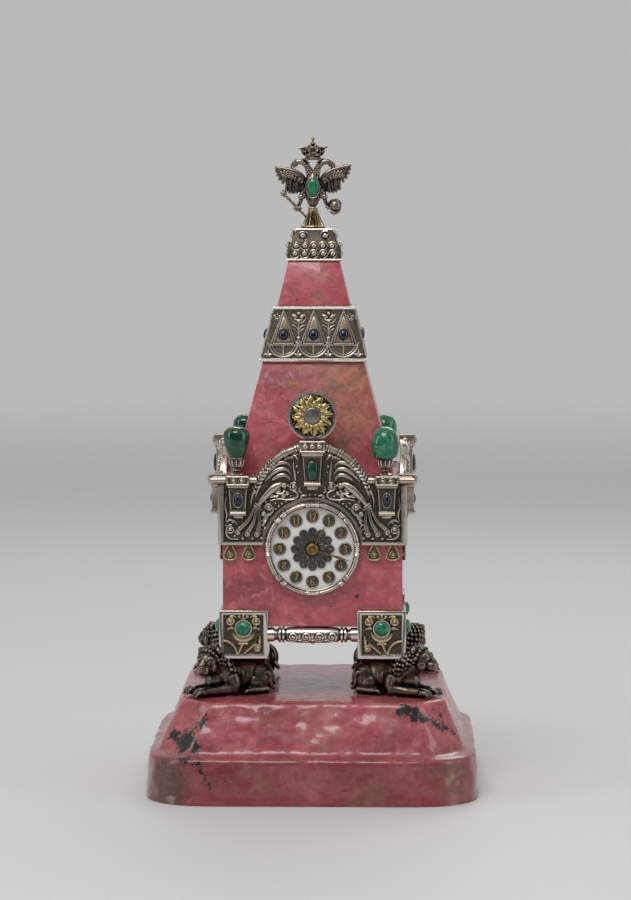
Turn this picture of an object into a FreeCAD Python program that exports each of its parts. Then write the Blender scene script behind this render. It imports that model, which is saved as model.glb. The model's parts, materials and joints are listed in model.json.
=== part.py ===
import FreeCAD
import Part

import math
import os

# A tabletop steeple clock of carved stone held by silver mounts, with its movement inside.
# Millimetres. +Z is up, the dial faces -Y and the origin is the middle of the plinth's underside.
# Pieces of the dial side are drawn once and turned about Z for the other three sides.

# Heights of the tiers, each above the one below it
PLINTH_H = 43.0
LION_BACK_H = 16.8
BODY_SEAT_H = 14.2
BODY_H = 67.0
SPIRE_SPLIT_H = 62.0
SPIRE_UPPER_H = 35.0
CAP_TOP_RISE = 12.0

# Plinth
PLINTH_HALF = 73.7
PLINTH_RIM_SETBACK = 0.8
PLINTH_RIM_H = 19.7
LEDGE_SETBACK = 4.9
LEDGE_H = 21.2
PLINTH_TOP_SETBACK = 9.0
PLINTH_CORNER_CUT = 15.0
PLINTH_TOP_CUT = 13.0
PLINTH_ROUND = 1.2

# Body block and its bore
BODY_HALF = 39.8
BORE_R = 20.9
DIAL_RISE = 34.8
FIT = 0.05

# Corner blocks
BLOCK_PROUD = 1.6
BLOCK_SIZE = 21.5
BLOCK_FRAME = 1.9
BLOCK_RECESS = 0.7
BLOCK_GEM_RISE = 13.5
BLOCK_GEM_R = 3.15
BLOCK_GEM_RIM = 0.7
BLOCK_GEM_SUNK = 0.9

# Spindle rails
RAIL_R = 3.6
RAIL_AXIS_DROP = 3.75
RAIL_INSET = 1.8
RAIL_END_R = 3.1
RAIL_RING_R = 3.6
RAIL_RING_AT = 13.2
RAIL_RING_W = 1.1
RAIL_NECK_R = 2.6
RAIL_NECK_W = 1.0

# Lions, in their own frame: the head looks along +X and the feet stand at zero height
LION_YAW = 27.0
LION_REAR = 12.0
LION_CHEST = 10.5
LION_HALF_W = 6.6
LION_HAUNCH_R = 6.4
LION_HAUNCH_LEN = 8.2
LION_HAUNCH_MID = 6.6
LION_HAUNCH_Y = 3.0
LION_CHEST_R = 7.2
LION_MANE_R = 7.0
LION_HEAD_X = 18.6
LION_HEAD_H = 16.4
LION_FACE_R = 4.6
LION_FACE_X = 22.0
LION_MUZZLE_R = 2.9
LION_MUZZLE_X = 25.2
LION_MUZZLE_H = 14.2
LION_BODY_R = 8.6
LION_BODY_MID = 7.9
LION_CHEST_MID = 8.4
LION_PAW_X = 24.5
LION_PAW_R = 2.4
LION_PAW_RISE = 2.0
LION_PAW_Y = 5.6
LION_HIND_X = 1.0

# Frieze plates with their arched gables and mouldings
PLATE_T = 1.0
FRIEZE_BOTTOM_DROP = 30.4
GABLE_T = 2.0
ARCH_R = 27.4
ARCH_RISE = 19.6
ARCH_ROLL_R = 1.6
ARCH_ROLL_OUT = 0.3
STRIP_OUT = 1.0
BOTTOM_STRIP_H = 1.5
EDGE_STRIP_W = 1.6
CORNICE_H = 3.1
CORNICE_OUT = 2.65
CORNICE_START = 24.6
RING_MOULD_W = 1.6

# Gilt drops under the frieze
DROP_LEFT_INSETS = (3.4, 11.7)
DROP_RIGHT_INSETS = (12.6, 4.3)
DROP_W = 6.0
DROP_H = 7.0
DROP_T = 1.1
DROP_NECK_W = 1.6

# Corner pedestals
PEDESTAL_INSET = 7.0
PEDESTAL_HEAD_W = 10.0
PEDESTAL_HEAD_H = 4.4
PEDESTAL_HEAD_OUT = 5.2
PEDESTAL_TOP_RISE = 0.5
PEDESTAL_SLAB_BACK = 2.6
PEDESTAL_NECK_W = 9.0
PEDESTAL_NECK_H = 1.0
PEDESTAL_TAPER_H = 10.1
PEDESTAL_TAPER_TOP_W = 8.2
PEDESTAL_TAPER_FOOT_W = 7.0
PEDESTAL_TAPER_OUT = 3.7
PEDESTAL_FOOT_W = 7.3
PEDESTAL_FOOT_H = 2.0
PEDESTAL_FOOT_OUT = 4.2
PEDESTAL_DROP_H = 1.5
PEDESTAL_DROP_W = 4.6
PEDESTAL_GEM_RISE = 4.6
SMALL_GEM_HALF_W = 1.65
SMALL_GEM_HALF_H = 2.85

# Keystones at the arches' crowns
KEY_HEAD_W = 11.4
KEY_HEAD_H = 5.3
KEY_HEAD_TOP_RISE = 16.0
KEY_HEAD_OUT = 4.6
KEY_HEAD_BACK = 2.3
KEY_NECK_W = 9.5
KEY_NECK_H = 1.4
KEY_NECK_OUT = 4.0
KEY_TAPER_H = 11.4
KEY_TAPER_TOP_W = 8.6
KEY_TAPER_FOOT_W = 7.0
KEY_TAPER_OUT = 3.3
KEY_FOOT_W = 7.5
KEY_FOOT_H = 2.0
KEY_FOOT_OUT = 3.9
KEY_DROP_H = 1.7
KEY_DROP_W = 5.0
KEY_GEM_RISE = 5.0
KEY_GEM_HALF_W = 2.4
KEY_GEM_HALF_H = 4.3
GEM_SUNK = 0.5

# Finials on the corner pedestals of the front and rear
FINIAL_SHIFT = 0.6
FINIAL_OUT = 1.7
CUP_FOOT_R = 3.5
CUP_FOOT_H = 0.9
CUP_NECK_R = 1.3
CUP_NECK_H = 2.4
CUP_BOWL_H = 4.9
CUP_BOWL_R = 3.7
CUP_DISH = 0.8
FINIAL_FOOT_R = 3.3
FINIAL_R = 5.7
FINIAL_FOOT_H = 8.6
FINIAL_TOP_H = 5.6

# Spire
SPIRE_FOOT_SETBACK = 4.2
SPIRE_SPLIT_HALF = 19.3
SPIRE_TOP_HALF = 10.8

# Band round the spire
BAND_BELOW_SPLIT = 12.5
BAND_H = 24.9
BAND_T = 0.9
BAND_ROLL = 1.9
BAND_ROLL_OUT = 0.9
BAND_PANEL_PITCH = 13.4
BAND_PANEL_HALF_W = 4.5
BAND_PANEL_H = 14.5
BAND_PANEL_FOOT_H = 7.9
BAND_PANEL_OUT = 0.5
BAND_GEM_RISE = 4.3
BAND_GEM_HALF_W = 1.85
BAND_GEM_HALF_H = 2.7

# Cap at the spire's top
CAP_H = 14.6
CAP_FOOT_HALF = 12.2
CAP_STEP_H = 7.2
CAP_STEP_LOW_HALF = 11.5
CAP_STEP_HALF = 10.7
CAP_RIM_HALF = 8.2
CAP_RIM_H = 1.0

# Bell foot under the eagle
BELL_FOOT_R = 5.6
BELL_FOOT_H = 1.0
BELL_WAIST_R = 2.5
BELL_H = 7.0
BELL_COLLAR_R = 2.7
BELL_COLLAR_H = 1.7

# Two-headed eagle: heights are above the collar, sideways sizes from its own axis
EAGLE_X = -0.7
EAGLE_TAIL_R = 2.2
EAGLE_BODY_H = 8.8
EAGLE_BODY_HALF_H = 8.0
EAGLE_BODY_R = 3.7
EAGLE_NECK_H = 16.4
EAGLE_NECK_X = 2.2
EAGLE_NECK_R = 1.6
EAGLE_HEAD_X = 5.7
EAGLE_HEAD_H = 19.3
EAGLE_HEAD_R = 1.95
EAGLE_BEAK_R = 1.2
EAGLE_BEAK_TIP_R = 0.35
EAGLE_BEAK_LEN = 3.6
EAGLE_BEAK_DIP = 2.1
WING_SPAN = 17.2
WING_H = 13.4
WING_FOOT_H = 4.8
WING_T = 2.6
WING_SHARES = (
    (0.05, 0.20), (0.34, 0.05), (0.50, 0.00), (0.62, 0.08), (0.72, 0.24),
    (0.86, 0.46), (0.96, 0.72), (1.00, 1.00), (0.80, 0.95), (0.60, 0.88),
    (0.42, 0.74), (0.26, 0.56), (0.05, 0.50),
)
LEG_X = 5.0
LEG_H = 4.2
LEG_ROOT_H = 6.4
LEG_R = 1.5
FOOT_R = 1.1
ORB_X = 10.3
ORB_H = 0.4
ORB_R = 3.0
CLAW_X = 5.8
CLAW_H = -0.4
CLAW_R = 2.0
SCEPTRE_TOP_X = 12.4
SCEPTRE_TOP_H = 7.2
SCEPTRE_LOW_X = 3.2
SCEPTRE_LOW_H = -4.8
SCEPTRE_R = 0.75
SCEPTRE_KNOB_R = 1.5
CHEST_GEM_H = 8.6
CHEST_GEM_HALF_W = 2.9
CHEST_GEM_HALF_H = 4.7
CHEST_SEAT_OUT = 2.2
CHEST_SEAT_RIM = 0.5
CROWN_FOOT_H = 21.6
CROWN_BASE_R = 3.2
CROWN_BASE_H = 2.0
CROWN_DOME_R = 2.9
CROWN_DOME_H = 3.8
CROWN_KNOB_R = 1.3
CROWN_KNOB_H = 28.0
CROWN_BALL_R = 0.85
CROWN_STEM_R = 0.5
CROWN_POST_R = 1.0
CROWN_TOP_H = 31.3
RIBBON_X = 7.0
RIBBON_H = 26.4
RIBBON_R = 0.7

# Sun disc on the front keystone
SUN_R = 10.9
SUN_OUT = 2.0
SUN_T = 1.4
SUN_RIM_W = 1.0
SUN_RIM_OUT = 0.8
SUN_FOOT_HALF = 2.2
SUN_FOOT_H = 1.6
SUN_BOSS_R = 3.5
SUN_BOSS_OUT = 1.2
RAY_COUNT = 12
RAY_ROOT_R = 3.7
RAY_TIP_R = 9.0
RAY_HALF_W = 1.1
RAY_T = 0.7
RAY_SHARES = ((0.0, 0.62), (0.30, 1.00), (0.66, 0.55), (1.0, -0.25), (0.72, -0.30), (0.30, -0.95), (0.0, -0.62))

# Tie rod through the spire
TIE_R = 1.5
TIE_ANCHOR_DEPTH = 9.0
TIE_TOP_H = 3.5

# Bezel and dial
BEZEL_R = 21.1
BEZEL_LIP_R = 18.2
BEZEL_DEPTH = 4.4
BEZEL_LIP_T = 1.3
BEZEL_CROWN_R = 1.3
DIAL_R = 19.2
DIAL_T = 1.2
DIAL_HOLE_R = 2.0
NUMERAL_COUNT = 12
NUMERAL_R = 3.0
NUMERAL_RING_R = 14.45
NUMERAL_T = 0.5
ROSETTE_R = 9.65
ROSETTE_STEP = 0.5
ROSETTE_TIER_SHARES = ((12, 0.78, 0.22), (10, 0.52, 0.22), (8, 0.30, 0.16))

# Hands
HOUR_LEN = 11.7
HOUR_ANGLE = 28.8
MINUTE_LEN = 17.7
MINUTE_ANGLE = 107.0
HAND_T = 0.4
HAND_GAP = 0.4
HAND_ROOT_HALF = 0.75
HAND_TIP_HALF = 0.25
HAND_LEAF_HALF = 1.2
HAND_LEAF_SHARE = 0.62
HUB_R = 2.6
HUB_CAP_H = 0.9

# Drum case and plates of the movement
CASE_GAP = 0.1
CASE_T = 0.8
CASE_LIP_R = 18.4
CASE_LIP_T = 1.0
FRONT_PLATE_SET = 3.3
FRONT_PLATE_T = 1.5
PLATE_SPACE = 23.0
BACK_PLATE_T = 1.2
PILLAR_R = 1.2
PILLAR_RING_R = 17.6
PILLAR_ANGLES = (60.0, 120.0, 250.0, 320.0)

# Wheels: teeth, and module of each mesh
GOING_MODULE = 0.25
BARREL_TEETH = 60
CENTRE_PINION_TEETH = 10
CENTRE_TEETH = 56
THIRD_PINION_TEETH = 8
THIRD_MODULE = 0.2
THIRD_TEETH = 60
FOURTH_PINION_TEETH = 10
ESCAPE_MODULE = 0.16
FOURTH_TEETH = 60
ESCAPE_PINION_TEETH = 10
MOTION_MODULE = 0.3
CANNON_TEETH = 10
MINUTE_TEETH = 30
MINUTE_PINION_TEETH = 8
HOUR_TEETH = 32
TOOTH_ADDENDUM_SHARE = 0.85
TOOTH_DEDENDUM_SHARE = 1.25
TOOTH_ROOT_SHARE = 0.27
TOOTH_PITCH_SHARE = 0.19
TOOTH_TIP_SHARE = 0.08

# Directions of the arbors about one another, from +X towards +Z
BARREL_DIR = 200.0
THIRD_DIR = 40.0
FOURTH_DIR = -55.0
ESCAPE_DIR = -85.0
PALLET_DIR = -135.0
BALANCE_DIR = -160.0
MINUTE_DIR = -30.0

# Levels of the wheels behind the front plate, and thicknesses
THIRD_LEVEL = 4.0
BARREL_LEVEL = 2.0
BARREL_H = 8.6
BARREL_WALL = 0.6
BARREL_DRUM_R = 6.9
CENTRE_LEVEL = 13.6
FOURTH_LEVEL = 17.6
WHEEL_T = 0.6
LEAF_EXTRA = 0.5
ARBOR_R = 0.9
FINE_ARBOR_R = 0.6
PIVOT_R = 0.45
BARREL_ARBOR_R = 1.2
OPEN_MESH_GAP = 0.12

# Motion work in front of the front plate
CANNON_LEVEL = 0.4
CANNON_PIPE_R = 1.2
CANNON_BORE_R = 0.7
HOUR_LEVEL = 1.6
HOUR_PIPE_BORE_R = 1.25
HOUR_PIPE_R = 1.7
STUD_R = 0.6

# Mainspring
SPRING_T = 0.22
SPRING_COILS = 5
SPRING_STEPS = 20
SPRING_INNER_R = 2.1
SPRING_SIDE_GAP = 0.4

# Escapement behind the back plate
ESCAPE_TEETH = 15
ESCAPE_R = 3.3
ESCAPE_ROOT_SHARE = 0.72
ESCAPE_LEAN_SHARE = 0.55
ESCAPE_SET = 1.2
ESCAPE_T = 0.4
PALLET_DISTANCE = 4.4
PALLET_ARM = 2.3
PALLET_SPREAD = 65.0
PALLET_HALF_W = 0.35
FORK_LEN = 3.3
FORK_HALF_GAP = 0.3
BALANCE_DISTANCE = 5.2
BALANCE_R = 4.5
BALANCE_RIM_W = 0.8
BALANCE_SET = 3.2
BALANCE_T = 0.9
BALANCE_ARM_HALF = 0.45
ROLLER_R = 1.0
STAFF_R = 0.5
HAIR_T = 0.12
HAIR_COILS = 4
HAIR_OUTER_R = 3.4
HAIR_INNER_R = 1.0
HAIR_SET = 4.6
HAIR_W = 0.4
COLLET_R = 1.05
COCK_SET = 5.6
COCK_T = 1.0
COCK_HALF_W = 1.7
COCK_FOOT_A = (-3.4, -15.4)
COCK_FOOT_B = (15.0, -2.0)

# Winding key on its long stem
KEY_PIPE_R = 2.0
KEY_PIPE_START = 1.4
KEY_STEM_LEN = 37.0
KEY_WING_LEN = 8.0
KEY_WING_R = 3.4
KEY_WING_AT = 5.0
KEY_WING_T = 2.0

# Rear frame, cover and hinge
FRAME_LIP_R = 17.8
FRAME_DEPTH = 2.0
COVER_R = 20.2
COVER_T = 1.2
COVER_GAP = 0.1
COVER_KNOB_R = 1.7
COVER_KNOB_H = 1.6
COVER_KNOB_X = -16.0
HINGE_X = 22.4
HINGE_BELOW_DIAL = 4.0
HINGE_LEAF_H = 3.1
HINGE_GAP = 0.15
HINGE_KNUCKLE_R = 1.05
HINGE_PIN_R = 0.5
HINGE_ARM_X = 19.4

# Levels that follow from the sizes above
Z_PLINTH = PLINTH_H
Z_BLOCK = Z_PLINTH + LION_BACK_H
Z_BODY = Z_BLOCK + BODY_SEAT_H
Z_SHOULDER = Z_BODY + BODY_H
Z_DIAL = Z_BODY + DIAL_RISE
SPIRE_H = SPIRE_SPLIT_H + SPIRE_UPPER_H
CAP_TOP_H = SPIRE_H + CAP_TOP_RISE
BAND_FOOT_H = SPIRE_SPLIT_H - BAND_BELOW_SPLIT
Z_SPLIT = Z_SHOULDER + SPIRE_SPLIT_H
Z_SPIRE_TOP = Z_SHOULDER + SPIRE_H
Z_CAP_TOP = Z_SHOULDER + CAP_TOP_H
Z_COLLAR = Z_CAP_TOP + BELL_FOOT_H + BELL_H + BELL_COLLAR_H
Z_FRIEZE = Z_SHOULDER - FRIEZE_BOTTOM_DROP
Z_ARCH = Z_DIAL + ARCH_RISE
PLATE_FACE = BODY_HALF + PLATE_T
PLINTH_RIM_HALF = PLINTH_HALF - PLINTH_RIM_SETBACK
LEDGE_HALF = PLINTH_RIM_HALF - LEDGE_SETBACK
PLINTH_TOP_HALF = LEDGE_HALF - PLINTH_TOP_SETBACK
BLOCK_OUTER = BODY_HALF + BLOCK_PROUD
BLOCK_MID = BLOCK_OUTER - BLOCK_SIZE / 2
BLOCK_INNER = BLOCK_OUTER - BLOCK_SIZE
RAIL_OFFSET = BODY_HALF - RAIL_INSET
PEDESTAL_X = BODY_HALF - PEDESTAL_INSET
FINIAL_X = PEDESTAL_X + FINIAL_SHIFT
DROP_XS = [x - BODY_HALF for x in DROP_LEFT_INSETS] + [BODY_HALF - x for x in DROP_RIGHT_INSETS]
SPIRE_FOOT_HALF = BODY_HALF - SPIRE_FOOT_SETBACK
BAND_PANEL_XS = (-BAND_PANEL_PITCH, 0, BAND_PANEL_PITCH)
PEDESTAL_TOP = Z_SHOULDER + PEDESTAL_TOP_RISE
KEY_TOP = Z_SHOULDER + KEY_HEAD_TOP_RISE
CASE_R = BORE_R - CASE_GAP
CASE_INNER_R = CASE_R - CASE_T
Y_FRONT_PLATE = -BODY_HALF + FRONT_PLATE_SET
Y_FRONT_INNER = Y_FRONT_PLATE + FRONT_PLATE_T
Y_BACK_PLATE = Y_FRONT_INNER + PLATE_SPACE
Y_BACK_OUTER = Y_BACK_PLATE + BACK_PLATE_T
Y_DIAL = -BODY_HALF - DIAL_T
Y_HOUR_HAND = Y_DIAL - len(ROSETTE_TIER_SHARES) * ROSETTE_STEP - HAND_GAP
Y_MINUTE_HAND = Y_HOUR_HAND - HAND_T - HAND_GAP

FRONT = FreeCAD.Vector(0, -1, 0)
BACK = FreeCAD.Vector(0, 1, 0)
UP = FreeCAD.Vector(0, 0, 1)
ALONG_X = FreeCAD.Vector(1, 0, 0)
ORIGIN = FreeCAD.Vector(0, 0, 0)
TILTED = FreeCAD.Vector(1, 2, 3)
FACET_COUNT = 12
FACET_STEPS = 4
QUARTER = 90.0
HALF_TURN = 180.0
FULL_TURN = 360.0


# Helpers for simple solids
def at(x, y, z):
    return FreeCAD.Vector(x, y, z)


def box(x0, x1, y0, y1, z0, z1):
    return Part.makeBox(x1 - x0, y1 - y0, z1 - z0, at(x0, y0, z0))


def rod_z(r, x, y, z0, z1):
    return Part.makeCylinder(r, z1 - z0, at(x, y, z0), UP)


def rod_y(r, x, z, y0, y1):
    return Part.makeCylinder(r, y1 - y0, at(x, y0, z), BACK)


def rod_between(r, start, end):
    return Part.makeCylinder(r, (end - start).Length, start, end - start)


def ring_y(r_out, r_in, x, z, y0, y1):
    return rod_y(r_out, x, z, y0, y1).cut(rod_y(r_in, x, z, y0, y1))


def joined(shapes):
    if len(shapes) < 2:
        return shapes[0]
    return shapes[0].multiFuse(shapes[1:]).removeSplitter()


def group(shapes):
    return Part.makeCompound(shapes)


def prism(points, y0, y1):
    corners = [at(x, y0, z) for x, z in points]
    face = Part.Face(Part.makePolygon(corners + corners[:1]))
    return face.extrude(at(0, y1 - y0, 0))


def slab(points, z0, z1):
    corners = [at(x, y, z0) for x, y in points]
    face = Part.Face(Part.makePolygon(corners + corners[:1]))
    return face.extrude(at(0, 0, z1 - z0))


def turned(profile, x, y):
    corners = [at(x + r, y, z) for r, z in profile]
    face = Part.Face(Part.makePolygon(corners + corners[:1]))
    return face.revolve(at(x, y, 0), UP, FULL_TURN)


def turned_y(profile, x, z):
    corners = [at(x + r, y, z) for r, y in profile]
    face = Part.Face(Part.makePolygon(corners + corners[:1]))
    return face.revolve(at(x, 0, z), BACK, FULL_TURN)


def egg(half_len, r, middle, direction):
    curve = Part.Ellipse(ORIGIN, half_len, r)
    arc = curve.toShape(0, math.pi)
    ends = Part.makeLine(arc.Vertexes[-1].Point, arc.Vertexes[0].Point)
    solid = Part.Face(Part.Wire([arc, ends])).revolve(ORIGIN, ALONG_X, FULL_TURN)
    turn = FreeCAD.Rotation(ALONG_X, direction)
    return solid.transformed(FreeCAD.Placement(middle, turn).toMatrix())


# A solid with flat faces between rings of points, each ring a polygon or a single point
def polyhedron(rings):
    faces = []
    for low, high in zip(rings, rings[1:]):
        count = max(len(low), len(high))
        for i in range(count):
            corners = [low[i % len(low)], low[(i + 1) % len(low)]]
            corners += [high[(i + 1) % len(high)], high[i % len(high)]]
            corners = [corner for k, corner in enumerate(corners) if corner != corners[k - 1]]
            faces.append(Part.Face(Part.makePolygon(corners + corners[:1])))
    for ring in (rings[0], rings[-1]):
        if len(ring) > 1:
            faces.append(Part.Face(Part.makePolygon(ring + ring[:1])))
    solid = Part.makeSolid(Part.makeShell(faces))
    if solid.Volume < 0:
        solid.reverse()
    return solid


# A turned form with flat facets about a line, from its lengths along the line and radii
def faceted(profile, start, direction):
    turn = FreeCAD.Rotation(ALONG_X, direction)
    rings = []
    for along, r in profile:
        angles = [2 * math.pi * i / FACET_COUNT for i in range(FACET_COUNT)]
        if r == 0:
            angles = angles[:1]
        rings.append([start + turn.multVec(at(along, r * math.cos(a), r * math.sin(a))) for a in angles])
    return polyhedron(rings)


def dome_profile(middle, half_len, r, first, last):
    profile = []
    for i in range(first, last + 1):
        angle = math.pi * i / (2 * FACET_STEPS)
        spread = 0 if i in (0, 2 * FACET_STEPS) else r * math.sin(angle)
        profile.append((middle - half_len * math.cos(angle), spread))
    return profile


def facet_egg(half_len, r, middle, direction):
    return faceted(dome_profile(0, half_len, r, 0, 2 * FACET_STEPS), middle, direction)


def facet_ball(r, middle):
    return facet_egg(r, r, middle, TILTED)


def facet_limb(r, start, end):
    span = end - start
    near = dome_profile(0, r, r, 0, FACET_STEPS)
    far = dome_profile(span.Length, r, r, FACET_STEPS, 2 * FACET_STEPS)
    return faceted(near + far, start, span)


def facet_rod(r_start, r_end, start, end):
    span = end - start
    return faceted([(0, r_start), (span.Length, r_end)], start, span)


def cut_square(half, cut, z):
    inner = half - cut
    points = (
        (half, -inner), (half, inner), (inner, half), (-inner, half),
        (-half, inner), (-half, -inner), (-inner, -half), (inner, -half),
    )
    return [at(x, y, z) for x, y in points]


def square(half, z):
    return [at(half, -half, z), at(half, half, z), at(-half, half, z), at(-half, -half, z)]


def turned_side(shape, side):
    return shape.rotated(ORIGIN, UP, QUARTER * side)


def on_four_sides(shapes):
    return group([turned_side(shape, side) for side in range(4) for shape in shapes])


def mirrored_x(shape):
    return shape.mirror(ORIGIN, ALONG_X)


def rounded(shape, radius, wanted):
    edges = [edge for edge in shape.Edges if wanted(edge)]
    return shape.makeFillet(radius, edges)


# A gem: the front part of an egg whose flat back lies on the seat
def cabochon(half_w, half_h, sunk, x, y, z):
    solid = egg(half_h, half_w, at(x, y + sunk, z), UP)
    front = box(x - half_h, x + half_h, y - half_h, y, z - half_h, z + half_h)
    return solid.common(front)


# Stone pieces
def plinth():
    tiers = polyhedron([
        cut_square(PLINTH_HALF, PLINTH_CORNER_CUT, 0),
        cut_square(PLINTH_RIM_HALF, PLINTH_CORNER_CUT, PLINTH_RIM_H),
        cut_square(LEDGE_HALF, PLINTH_CORNER_CUT, LEDGE_H),
        cut_square(PLINTH_TOP_HALF, PLINTH_TOP_CUT, Z_PLINTH),
    ])
    levels = (PLINTH_RIM_H, Z_PLINTH)

    def is_rim(edge):
        bottom, top = edge.BoundBox.ZMin, edge.BoundBox.ZMax
        return top - bottom < FIT and any(abs(top - level) < FIT for level in levels)

    return rounded(tiers, PLINTH_ROUND, is_rim)


def body_block():
    solid = box(-BODY_HALF, BODY_HALF, -BODY_HALF, BODY_HALF, Z_BODY, Z_SHOULDER)
    bore = rod_y(BORE_R, 0, Z_DIAL, -BODY_HALF, BODY_HALF)
    anchor = rod_z(TIE_R, 0, 0, Z_SHOULDER - TIE_ANCHOR_DEPTH, Z_SHOULDER)
    return solid.cut(bore).cut(anchor)


def spire_half(z):
    if z <= Z_SPLIT:
        share = (z - Z_SHOULDER) / SPIRE_SPLIT_H
        return SPIRE_FOOT_HALF + (SPIRE_SPLIT_HALF - SPIRE_FOOT_HALF) * share
    share = (z - Z_SPLIT) / SPIRE_UPPER_H
    return SPIRE_SPLIT_HALF + (SPIRE_TOP_HALF - SPIRE_SPLIT_HALF) * share


def tie_hole(z0, z1):
    return rod_z(TIE_R + FIT, 0, 0, z0, z1)


def spire_lower():
    solid = polyhedron([square(SPIRE_FOOT_HALF, Z_SHOULDER), square(SPIRE_SPLIT_HALF, Z_SPLIT)])
    return solid.cut(tie_hole(Z_SHOULDER, Z_SPLIT))


def spire_upper():
    solid = polyhedron([square(SPIRE_SPLIT_HALF, Z_SPLIT), square(SPIRE_TOP_HALF, Z_SPIRE_TOP)])
    return solid.cut(tie_hole(Z_SPLIT, Z_SPIRE_TOP))


def spire_envelope(grow):
    return polyhedron([
        square(SPIRE_FOOT_HALF + grow, Z_SHOULDER),
        square(SPIRE_SPLIT_HALF + grow, Z_SPLIT),
        square(SPIRE_TOP_HALF + grow, Z_SPIRE_TOP),
    ])


# Silver round the spire
def band_slope():
    z0 = Z_SHOULDER + BAND_FOOT_H
    z1 = z0 + BAND_H
    return math.degrees(math.atan((spire_half(z0) - spire_half(z1)) / BAND_H))


def band_face(z):
    z0 = Z_SHOULDER + BAND_FOOT_H
    z1 = z0 + BAND_H
    share = (z - z0) / BAND_H
    return spire_half(z0) + (spire_half(z1) - spire_half(z0)) * share + BAND_T


def leaned(shape, z):
    return shape.rotated(at(0, -band_face(z), z), ALONG_X, -band_slope())


def spire_band():
    z0 = Z_SHOULDER + BAND_FOOT_H
    z1 = z0 + BAND_H
    plate = polyhedron([square(band_face(z0), z0), square(band_face(z1), z1)])
    shapes = [plate]
    for low in (z0, z1 - BAND_ROLL):
        high = low + BAND_ROLL
        middle = (low + high) / 2
        shapes.append(polyhedron([
            square(band_face(low), low),
            square(band_face(middle) + BAND_ROLL_OUT, middle),
            square(band_face(high), high),
        ]))
    foot = z0 + BAND_PANEL_FOOT_H
    y = -band_face(foot)
    for x in BAND_PANEL_XS:
        outline = ((x - BAND_PANEL_HALF_W, foot), (x + BAND_PANEL_HALF_W, foot), (x, foot + BAND_PANEL_H))
        panel = leaned(prism(outline, y - BAND_PANEL_OUT, y + BAND_T), foot)
        shapes.extend(turned_side(panel, side) for side in range(4))
    return joined(shapes).cut(spire_envelope(FIT))


def band_gems():
    foot = Z_SHOULDER + BAND_FOOT_H + BAND_PANEL_FOOT_H
    y = -band_face(foot) - BAND_PANEL_OUT
    return [
        leaned(cabochon(BAND_GEM_HALF_W, BAND_GEM_HALF_H, GEM_SUNK, x, y, foot + BAND_GEM_RISE), foot)
        for x in BAND_PANEL_XS
    ]


def spire_cap():
    z0 = Z_CAP_TOP - CAP_H
    step = z0 + CAP_STEP_H
    rim = Z_CAP_TOP - CAP_RIM_H
    low = polyhedron([square(CAP_FOOT_HALF, z0), square(CAP_STEP_LOW_HALF, step)])
    high = polyhedron([square(CAP_STEP_HALF, step), square(CAP_RIM_HALF, rim)])
    top = polyhedron([square(CAP_RIM_HALF, rim), square(CAP_RIM_HALF, Z_CAP_TOP)])
    solid = joined([low, high, top]).cut(spire_envelope(FIT))
    return solid.cut(tie_hole(Z_SPIRE_TOP, Z_CAP_TOP))


def tie_rod():
    return rod_z(TIE_R, 0, 0, Z_SHOULDER - TIE_ANCHOR_DEPTH, Z_CAP_TOP + TIE_TOP_H)


# Corner blocks, rails and lions
def block_envelope():
    return box(BLOCK_INNER, BLOCK_OUTER, -BLOCK_OUTER, -BLOCK_INNER, Z_BLOCK, Z_BLOCK + BLOCK_SIZE)


def block_gem_seat():
    return -BLOCK_OUTER + BLOCK_RECESS - BLOCK_GEM_RIM


def block_panel_tool():
    low, high = BLOCK_INNER + BLOCK_FRAME, BLOCK_OUTER - BLOCK_FRAME
    bottom, top = Z_BLOCK + BLOCK_FRAME, Z_BLOCK + BLOCK_SIZE - BLOCK_FRAME
    panel = box(low, high, -BLOCK_OUTER, -BLOCK_OUTER + BLOCK_RECESS, bottom, top)
    seat = rod_y(BLOCK_GEM_R + BLOCK_GEM_RIM, BLOCK_MID, Z_BLOCK + BLOCK_GEM_RISE,
                 block_gem_seat(), -BLOCK_OUTER + BLOCK_RECESS)
    return panel.cut(seat)


def front_to_side(shape):
    return turned_side(mirrored_x(shape), 1)


def corner_block():
    panel = block_panel_tool()
    solid = block_envelope().cut(panel).cut(front_to_side(panel))
    stone = box(-BODY_HALF, BODY_HALF, -BODY_HALF, BODY_HALF, Z_BODY, Z_SHOULDER)
    return solid.cut(stone)


def block_gems():
    gem = cabochon(BLOCK_GEM_R, BLOCK_GEM_R, BLOCK_GEM_SUNK, BLOCK_MID, block_gem_seat(), Z_BLOCK + BLOCK_GEM_RISE)
    return [gem, mirrored_x(gem)]


def rail_profile():
    half = BLOCK_INNER
    ring_in = RAIL_RING_AT - RAIL_RING_W
    ring_out = RAIL_RING_AT + RAIL_RING_W
    side = [
        (half, RAIL_END_R), (ring_out + RAIL_NECK_W, RAIL_END_R), (ring_out, RAIL_NECK_R),
        (ring_out, RAIL_RING_R), (RAIL_RING_AT, RAIL_RING_R), (RAIL_RING_AT, RAIL_NECK_R),
        (ring_in, RAIL_NECK_R), (ring_in, RAIL_RING_R), (ring_in - RAIL_NECK_W, RAIL_RING_R),
        (ring_in - RAIL_NECK_W, RAIL_NECK_R), (ring_in - 2 * RAIL_NECK_W, RAIL_R),
    ]
    return side + [(-x, r) for x, r in reversed(side)]


def spindle_rail():
    z = Z_BODY - RAIL_AXIS_DROP
    outline = rail_profile()
    corners = [at(x, -RAIL_OFFSET, z + r) for x, r in outline]
    corners = [at(BLOCK_INNER, -RAIL_OFFSET, z)] + corners + [at(-BLOCK_INNER, -RAIL_OFFSET, z)]
    face = Part.Face(Part.makePolygon(corners + corners[:1]))
    return face.revolve(at(0, -RAIL_OFFSET, z), ALONG_X, FULL_TURN)


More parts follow.
